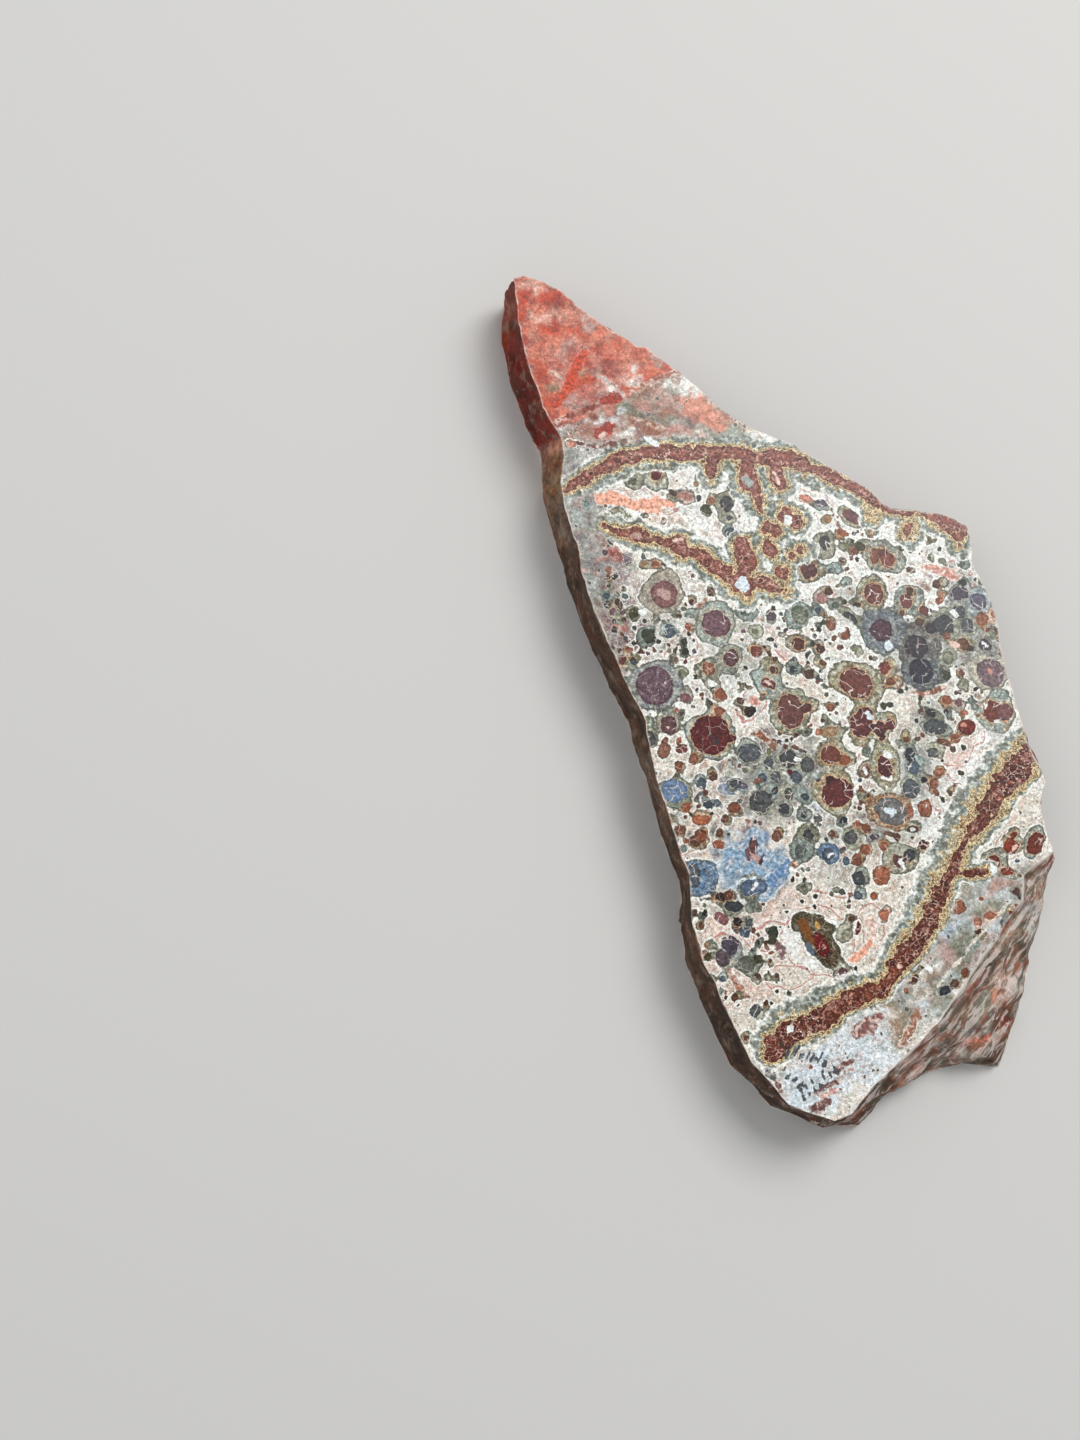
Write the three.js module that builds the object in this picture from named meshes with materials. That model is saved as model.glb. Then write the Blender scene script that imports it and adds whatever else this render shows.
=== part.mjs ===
// A slab of leopard skin rhyolite: one sawn slice of rough stone, lying on its sawn back.
// Millimetres, +Z up. +X and +Y run across and along the sawn face, and the red tip is at +Y.
// The origin is the middle of the slab's box, on the plane that it rests on.
// The two big faces are flat saw cuts. All round them the stone is broken, not cut: nearly
// square to the faces on most sides, and one long sloping break at the lower right.
import * as THREE from "three";

// Driving dimensions.
const THICKNESS = 10; // between the two saw cuts
const STATION_SPACING = 1.45; // between neighbouring stations along the rim
const CHIP_DEPTH = 0.28; // how far small chips move the rim of the sawn face
const CHIP_LENGTH = 2.6; // length of one such chip along the rim
const FACET_SIZE = 5.5; // across one broken facet of the rough sides
const FACET_RELIEF = 0.75; // how far the facets stand in or out
const SIDE_BULGE = 0.35; // the sides' middle stands this far proud of a straight wall
const LEDGE_RELIEF = 0.7; // height of the steps across the sloping break

// The rim of the sawn face, clockwise from the tip: x, y, then how far the foot of the
// broken side lies from there, in x and y.
const RIM = [
  [-40.0, 62.0, -0.5, -0.5],
  [-38.5, 62.5, 0.0, -0.5],
  [-35.5, 61.5, 0.0, -0.5],
  [-33.5, 60.5, -0.5, -0.5],
  [-30.5, 58.0, -0.5, -0.5],
  [-26.5, 55.0, -0.5, -0.5],
  [-22.0, 52.0, 0.0, 0.0],
  [-20.5, 52.0, 0.0, 0.0],
  [-17.0, 49.0, 0.0, 0.0],
  [-13.0, 46.0, -0.5, -0.5],
  [-9.5, 42.5, -1.0, -1.0],
  [-4.5, 39.5, -0.5, -1.0],
  [1.0, 37.5, -0.5, -1.0],
  [6.0, 34.5, 0.0, -0.5],
  [9.5, 32.5, 0.0, 0.0],
  [12.0, 31.0, 0.0, 0.0],
  [15.5, 28.0, 0.0, 0.0],
  [21.0, 27.5, 0.5, 0.0],
  [25.0, 26.5, 0.5, 0.0],
  [27.0, 25.5, 0.0, -0.5],
  [27.5, 24.0, 0.0, -0.5],
  [27.5, 19.5, 0.0, 0.0],
  [29.0, 17.0, 0.0, 0.0],
  [30.5, 12.5, 0.5, 0.0],
  [31.5, 5.5, 0.5, 0.0],
  [33.0, -1.0, 0.0, 0.0],
  [34.5, -7.0, 0.0, 0.0],
  [36.5, -11.0, 0.5, 0.0],
  [37.0, -12.5, 0.5, 0.0],
  [36.0, -16.0, 0.5, 0.0],
  [36.0, -17.5, 1.0, 0.0],
  [37.0, -21.0, 1.5, -0.5],
  [37.5, -23.0, 2.5, -1.5],
  [33.0, -26.5, 6.5, -2.5],
  [32.5, -30.0, 5.5, -3.0],
  [29.0, -34.5, 7.5, -3.5],
  [25.5, -39.0, 10.0, -4.0],
  [22.5, -43.0, 11.5, -4.0],
  [19.0, -47.5, 12.0, -6.5],
  [16.5, -50.0, 9.0, -3.5],
  [13.5, -52.5, 7.0, -2.0],
  [11.0, -55.0, 5.5, -1.5],
  [9.0, -56.5, 4.0, -1.5],
  [6.0, -60.0, 3.5, -2.0],
  [3.5, -61.0, 0.0, -1.0],
  [0.5, -60.0, 0.0, -0.5],
  [-3.0, -58.5, -0.5, -0.5],
  [-5.0, -56.0, -0.5, -0.5],
  [-8.0, -52.5, -1.0, -0.5],
  [-10.0, -48.5, -1.0, -0.5],
  [-12.5, -43.0, -1.0, 0.0],
  [-15.0, -37.5, -0.5, 0.0],
  [-16.0, -32.0, 0.5, 0.0],
  [-16.5, -26.0, 0.5, 0.0],
  [-18.5, -19.5, 0.0, 0.0],
  [-20.5, -12.5, 0.5, 0.0],
  [-21.5, -9.0, 0.0, 0.0],
  [-22.0, -4.0, -0.5, 0.0],
  [-25.0, 2.5, -0.5, 0.0],
  [-27.0, 7.0, -0.5, 0.0],
  [-28.5, 10.5, -0.5, 0.0],
  [-30.0, 15.0, -0.5, 0.0],
  [-31.0, 19.5, -1.0, 0.0],
  [-32.0, 23.0, -1.0, 0.0],
  [-33.0, 27.5, -1.0, 0.0],
  [-33.5, 31.0, -1.5, 0.5],
  [-33.0, 35.0, -2.0, 0.5],
  [-33.5, 38.0, -2.0, 0.5],
  [-36.0, 42.5, -1.5, 0.0],
  [-38.0, 48.5, -1.5, 0.0],
  [-39.5, 55.5, -1.5, 0.0],
];

// Levels down the broken side, from the face's rim at 0 to the foot at 1.
const LEVELS = [0, 0.07, 0.15, 0.24, 0.34, 0.45, 0.56, 0.68, 0.8, 0.91, 1];
// Depth against sideways travel on the sloping break: a narrow shelf under the rim, a
// long slope, and a short drop at the outer edge.
const BREAK_PROFILE = [
  [0, 0],
  [0.1, 0.12],
  [0.17, 0.15],
  [0.3, 0.3],
  [0.42, 0.36],
  [0.62, 0.56],
  [0.74, 0.6],
  [0.9, 0.74],
  [1, 1],
];
const BREAK_REACH = 6; // a foot this far out makes the side wholly a sloping break

// Repeatable noise.
function hash(i, j, k) {
  const s = Math.sin(i * 127.1 + j * 311.7 + k * 74.7) * 43758.5453;
  return s - Math.floor(s);
}

function smoothNoise(x, y, z) {
  const base = [x, y, z].map(Math.floor);
  const part = [x, y, z].map((v, n) => v - base[n]).map((t) => t * t * (3 - 2 * t));
  let sum = 0;
  for (const a of [0, 1])
    for (const b of [0, 1])
      for (const c of [0, 1]) {
        const weight =
          (a ? part[0] : 1 - part[0]) * (b ? part[1] : 1 - part[1]) * (c ? part[2] : 1 - part[2]);
        sum += weight * hash(base[0] + a, base[1] + b, base[2] + c);
      }
  return sum * 2 - 1;
}

// Relief of a broken surface: each cell of stone is one tilted flat facet.
function facetRelief(p, size) {
  const q = p.clone().divideScalar(size);
  const cell = [q.x, q.y, q.z].map(Math.floor);
  let best = Infinity;
  let relief = 0;
  for (let i = -1; i <= 1; i++)
    for (let j = -1; j <= 1; j++)
      for (let k = -1; k <= 1; k++) {
        const [a, b, c] = [cell[0] + i, cell[1] + j, cell[2] + k];
        const seed = new THREE.Vector3(
          a + hash(a, b, c),
          b + hash(b, c, a + 9),
          c + hash(c, a, b + 17),
        );
        const offset = q.clone().sub(seed);
        const distance = offset.lengthSq();
        if (distance >= best) continue;
        best = distance;
        const tilt = new THREE.Vector3(
          hash(a + 3, b, c) - 0.5,
          hash(a, b + 5, c) - 0.5,
          hash(a, b, c + 7) - 0.5,
        );
        relief = hash(a + 11, b + 13, c) * 1.2 - 0.6 + 1.6 * tilt.dot(offset);
      }
  return THREE.MathUtils.clamp(relief, -1, 1);
}

function profileDepth(travel) {
  const next = BREAK_PROFILE.findIndex(([t]) => t >= travel);
  if (next <= 0) return 0;
  const [t0, d0] = BREAK_PROFILE[next - 1];
  const [t1, d1] = BREAK_PROFILE[next];
  return d0 + ((d1 - d0) * (travel - t0)) / (t1 - t0);
}

// Stations at even spacing along the rim, anticlockwise, each with its rim point and foot.
function rimStations() {
  const rows = [...RIM].reverse();
  const stations = [];
  rows.forEach((row, n) => {
    const next = rows[(n + 1) % rows.length];
    const length = Math.hypot(next[0] - row[0], next[1] - row[1]);
    const steps = Math.max(1, Math.round(length / STATION_SPACING));
    for (let s = 0; s < steps; s++) {
      const at = row.map((value, i) => value + ((next[i] - value) * s) / steps);
      stations.push({ x: at[0], y: at[1], footX: at[2], footY: at[3] });
    }
  });
  return stations;
}

// Chips move each rim point in or out, along the outward direction there.
function addChips(stations) {
  const count = stations.length;
  stations.forEach((s, n) => {
    const before = stations[(n + count - 1) % count];
    const after = stations[(n + 1) % count];
    s.out = new THREE.Vector2(after.y - before.y, before.x - after.x).normalize();
  });
  for (const s of stations) {
    const chip = CHIP_DEPTH * smoothNoise(s.x / CHIP_LENGTH, s.y / CHIP_LENGTH, 4.5);
    s.x += s.out.x * chip;
    s.y += s.out.y * chip;
  }
}

function sidePoint(station, level) {
  const { x, y, footX, footY, out } = station;
  const slope = Math.min(1, Math.hypot(footX, footY) / BREAK_REACH);
  const depth = THREE.MathUtils.lerp(level, profileDepth(level), slope);
  const p = new THREE.Vector3(x + footX * level, y + footY * level, THICKNESS * (1 - depth));
  const fade = Math.sin(Math.PI * level) ** 0.6;
  const wall = new THREE.Vector3(out.x, out.y, 0.8 * slope).normalize();
  const steps = LEDGE_RELIEF * slope * smoothNoise(p.x / 9, p.y / 9, level * 7);
  const rough = FACET_RELIEF * facetRelief(p, FACET_SIZE) + SIDE_BULGE + steps;
  return p.addScaledVector(wall, fade * rough);
}

function slabGeometry() {
  const stations = rimStations();
  addChips(stations);
  const onCut = (s, level) =>
    new THREE.Vector3(s.x + s.footX * level, s.y + s.footY * level, THICKNESS * (1 - level));
  const rings = LEVELS.map((level) =>
    stations.map((s) => (level === 0 || level === 1 ? onCut(s, level) : sidePoint(s, level))),
  );
  const count = stations.length;
  const positions = rings.flat().flatMap((p) => [p.x, p.y, p.z]);
  const index = [];
  for (let r = 0; r + 1 < rings.length; r++)
    for (let n = 0; n < count; n++) {
      const [a, b] = [r * count + n, r * count + ((n + 1) % count)];
      const [c, d] = [a + count, b + count];
      index.push(a, c, b, b, c, d);
    }
  const flat = (ring) => ring.map((p) => new THREE.Vector2(p.x, p.y));
  for (const [a, b, c] of THREE.ShapeUtils.triangulateShape(flat(rings[0]), [])) index.push(a, b, c);
  const foot = (rings.length - 1) * count;
  for (const [a, b, c] of THREE.ShapeUtils.triangulateShape(flat(rings.at(-1)), []))
    index.push(foot + a, foot + c, foot + b);
  const geometry = new THREE.BufferGeometry();
  geometry.setAttribute("position", new THREE.Float32BufferAttribute(positions, 3));
  geometry.setIndex(index);
  geometry.computeBoundingBox();
  const middle = geometry.boundingBox.getCenter(new THREE.Vector3());
  geometry.translate(-middle.x, -middle.y, 0);
  geometry.computeVertexNormals();
  return geometry;
}

const stone = new THREE.MeshStandardMaterial({
  color: new THREE.Color(0.56, 0.45, 0.42),
  roughness: 0.4,
  metalness: 0,
});
const slab = new THREE.Mesh(slabGeometry(), stone);
slab.name = "rhyolite_slab";

const part = new THREE.Group();
part.add(slab);
export default part;
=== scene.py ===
"""Looks of a slab of leopard skin rhyolite: sawn faces with orbs and bands, rough broken sides.

The CAD node gives the outline. Its surface is rebuilt here with a fine mesh, and every vertex
of the mesh carries the distance to the nearest orb, band, vein and fleck, and their tints.
The material turns those smooth distances into crisp, slightly ragged markings.
Places and sizes of markings are millimetres on the sawn face, in the frame's own axes.
"""

import bmesh
import bpy
import numpy as np
from mathutils import Matrix, Vector
from mathutils.geometry import delaunay_2d_cdt


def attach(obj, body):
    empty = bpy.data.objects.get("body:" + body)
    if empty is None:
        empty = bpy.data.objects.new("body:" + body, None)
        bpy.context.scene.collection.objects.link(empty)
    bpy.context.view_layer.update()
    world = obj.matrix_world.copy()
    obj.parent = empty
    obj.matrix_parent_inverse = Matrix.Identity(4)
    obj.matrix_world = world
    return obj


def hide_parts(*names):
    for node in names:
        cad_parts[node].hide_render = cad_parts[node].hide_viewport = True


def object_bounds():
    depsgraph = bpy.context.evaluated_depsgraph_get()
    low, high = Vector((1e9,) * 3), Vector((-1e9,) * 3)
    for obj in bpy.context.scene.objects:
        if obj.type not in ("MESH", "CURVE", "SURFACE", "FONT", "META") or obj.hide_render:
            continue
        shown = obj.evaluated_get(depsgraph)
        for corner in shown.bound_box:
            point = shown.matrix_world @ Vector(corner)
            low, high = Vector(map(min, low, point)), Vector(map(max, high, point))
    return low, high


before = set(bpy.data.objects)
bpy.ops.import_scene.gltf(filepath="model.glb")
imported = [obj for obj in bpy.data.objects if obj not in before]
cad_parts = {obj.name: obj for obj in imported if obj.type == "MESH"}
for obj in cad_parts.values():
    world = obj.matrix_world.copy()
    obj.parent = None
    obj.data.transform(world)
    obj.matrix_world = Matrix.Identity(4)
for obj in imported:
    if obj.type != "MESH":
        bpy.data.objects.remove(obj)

CAD_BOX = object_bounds()
MM = 0.001

# Driving dimensions of the fine surface and its markings, in millimetres.
THICKNESS = (CAD_BOX[1][2] - CAD_BOX[0][2]) / MM
SIDE_CUTS = 2  # cuts made in each edge of the CAD node's broken side
FRONT_STEP = 0.39  # between points of the patterned face
BACK_STEP = 0.8  # between points of the hidden sawn face
ROUGHNESS_DEPTH = 0.32  # how far the broken sides' fine relief goes in
RIM_CHIP = 0.14  # how far small chips eat into the rims of the sawn faces
BUMP_HEIGHT = 0.08  # height of the grain that only the material shows
BUMP_STRENGTH = 0.35  # share of that grain that shows
SHEEN = 0.35  # how strongly the stone mirrors light
NECK = 0.28  # how readily neighbouring halos flow into one another
BAND_SPREAD = 0.22  # added to the half width of the bands' cores
GOLD_SHARE = 0.75  # of the gold fringe's listed width that shows
SMALLEST_DOT = 0.3  # radius of the smallest seeded orb
TWO_TONE_FROM = 0.45  # seeded orbs with a larger radius are a core in a halo
CORE_SHARE = 0.62  # of a seeded orb's radius
HALO_SHARE = 1.08
FRONT_DOTS = (8000, 1.3, -45)  # tries at a seeded orb, its largest radius, and its lowest y
BACK_DOTS = (3000, 1.2, -50)
DOTS_ACROSS = (-27, 33)  # the seeded orbs lie between these x
DOTS_TOP = 31
DASH_HALF_WIDTHS = (0.14, 0.24)  # at the two ends of a ladder's dash
BACK_SHIFT = np.array([1.3, -1.6])  # added to a place on the back to find its markings
RIDGE_DEPTH = 0.45  # height of the ridges that run along the sloping break
STREAK_TURN = 0.86  # direction of those ridges on the face, in radians from the X axis
LEVEL = 0.001  # what lies this near to a sawn face's height belongs to that face
RIM_FADE = 0.7  # how far below a rim the sides' relief has fully come in
BREAK_START = 50  # x less y where the lower right begins
BREAK_BLEND = 6  # how much further on the break's own look has fully come in
SMALL_ORB = 0.6  # orbs with a smaller radius get net points of their own
SMALL_ORB_POINTS = 7  # number of those points round each one
ROW_RISE = 0.866  # height of a triangle whose sides are all 1
FAR = 50.0  # distance given to what has no marking near it

# The camera stands where the photograph was taken from. Seen from the slab's middle, that is
# 13 degrees to the left of straight up, and 9 degrees towards the slab's foot.
CAMERA_PLACE = (-0.0705, -0.0486, 0.3013)  # in metres
CAMERA_RIGHT = (0.99346, -0.01722, 0.11284)
CAMERA_UP = (0.0, 0.98855, 0.15086)
CAMERA_BACK = (-0.11415, -0.14988, 0.98209)
LENS = 52.0  # focal length in millimetres
FILM = 36.0  # width of the film in millimetres


def tone(red, green, blue):
    """A screen colour from 0 to 255, as the linear values that Blender works in."""
    return tuple(((c / 255 + 0.055) / 1.055) ** 2.4 if c > 10 else c / 3294.6 for c in (red, green, blue))


TONES = {
    "white": tone(243, 245, 241),
    "cool white": tone(226, 234, 238),
    "cream": tone(230, 223, 210),
    "pale pink": tone(232, 204, 192),
    "pink": tone(214, 158, 144),
    "salmon": tone(240, 178, 152),
    "terracotta": tone(174, 124, 102),
    "orange": tone(154, 104, 80),
    "rust": tone(140, 64, 44),
    "red": tone(170, 66, 46),
    "vermilion": tone(204, 84, 46),
    "tip red": tone(210, 108, 80),
    "tip pink": tone(226, 156, 132),
    "brown red": tone(120, 72, 64),
    "maroon": tone(96, 52, 52),
    "deep maroon": tone(104, 36, 36),
    "band maroon": tone(150, 96, 86),
    "deep band": tone(114, 62, 48),
    "burnt orange": tone(118, 60, 32),
    "plum": tone(130, 96, 100),
    "red brown": tone(124, 80, 72),
    "mid grey": tone(130, 132, 132),
    "mauve": tone(136, 104, 108),
    "dark plum": tone(90, 60, 68),
    "dusk": tone(78, 74, 84),
    "brown": tone(116, 86, 68),
    "dark brown": tone(64, 46, 34),
    "tan": tone(170, 138, 106),
    "gold": tone(206, 168, 110),
    "gold brown": tone(138, 92, 46),
    "olive": tone(74, 76, 56),
    "pale olive": tone(138, 140, 114),
    "olive halo": tone(156, 158, 136),
    "grey halo": tone(172, 179, 168),
    "dark halo": tone(132, 138, 126),
    "slate": tone(98, 104, 108),
    "dark slate": tone(66, 72, 78),
    "slate purple": tone(114, 104, 114),
    "pale grey": tone(176, 181, 177),
    "grey pink": tone(198, 168, 160),
    "blue": tone(124, 156, 188),
    "pale blue": tone(152, 178, 198),
    "blue slate": tone(112, 124, 140),
    "dull blue": tone(134, 148, 166),
    "dusky halo": tone(120, 121, 121),
    "soft grey": tone(170, 168, 162),
    "crystal red": tone(112, 18, 14),
    "crystal olive": tone(86, 68, 34),
    # Base tint of the broken sides: weathered rock, made darker in part by painted shade.
    "side brown and shade": tone(84, 62, 46),
    "side red": tone(124, 40, 16),
    "side grey": tone(142, 130, 116),
}

# Kinds of orb: tint of the core, tint of the halo round it, how crackled the core is, and
# how much tan and orange the halo has.
ORB_KINDS = {
    "maroon": ("maroon", "olive halo", 1.0, 1.0),
    "deep": ("deep maroon", "grey halo", 0.45, 1.0),
    "red brown": ("red brown", "olive halo", 1.0, 1.0),
    "brown red": ("brown red", "grey halo", 0.9, 0.9),
    "plum": ("plum", "grey halo", 1.0, 0.5),
    "dark plum": ("dark plum", "slate", 1.0, 0.15),
    "dusk": ("dusk", "dusky halo", 0.6, 0.0),
    "mauve": ("mauve", "soft grey", 0.3, 0.1),
    "dull blue": ("dull blue", "olive halo", 0.9, 0.2),
    "slate": ("slate", "grey halo", 1.0, 0.05),
    "dark slate": ("dark slate", "dark halo", 0.7, 0.0),
    "slate purple": ("slate purple", "pale grey", 0.9, 0.1),
    "blue": ("blue slate", "blue", 0.8, 0.0),
    "orange": ("orange", "tan", 0.5, 0.6),
    "rust": ("rust", "grey halo", 0.7, 0.8),
    "terracotta": ("terracotta", "pale pink", 0.2, 0.3),
    "brown": ("brown", "olive halo", 0.5, 0.5),
    "dark brown": ("dark brown", "brown", 0.2, 0.6),
    "tan": ("tan", "olive halo", 0.4, 0.4),
    "olive": ("olive", "dark halo", 0.1, 0.0),
    "pale olive": ("pale olive", "grey halo", 0.3, 0.1),
    "grey": ("dark halo", "grey halo", 0.5, 0.0),
    "ringed": ("mid grey", "tan", 1.0, 0.8),
    "pink": ("pink", "pale pink", 0.2, 0.3),
    "crystal": ("crystal red", "crystal olive", 0.5, 0.0),
}

# Kinds that the seeded small orbs are drawn from.
WARM_KINDS = ("brown", "orange", "brown red", "tan", "brown", "terracotta")
COOL_KINDS = ("slate", "grey", "brown", "slate purple", "grey", "pale olive", "olive", "plum")

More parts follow.
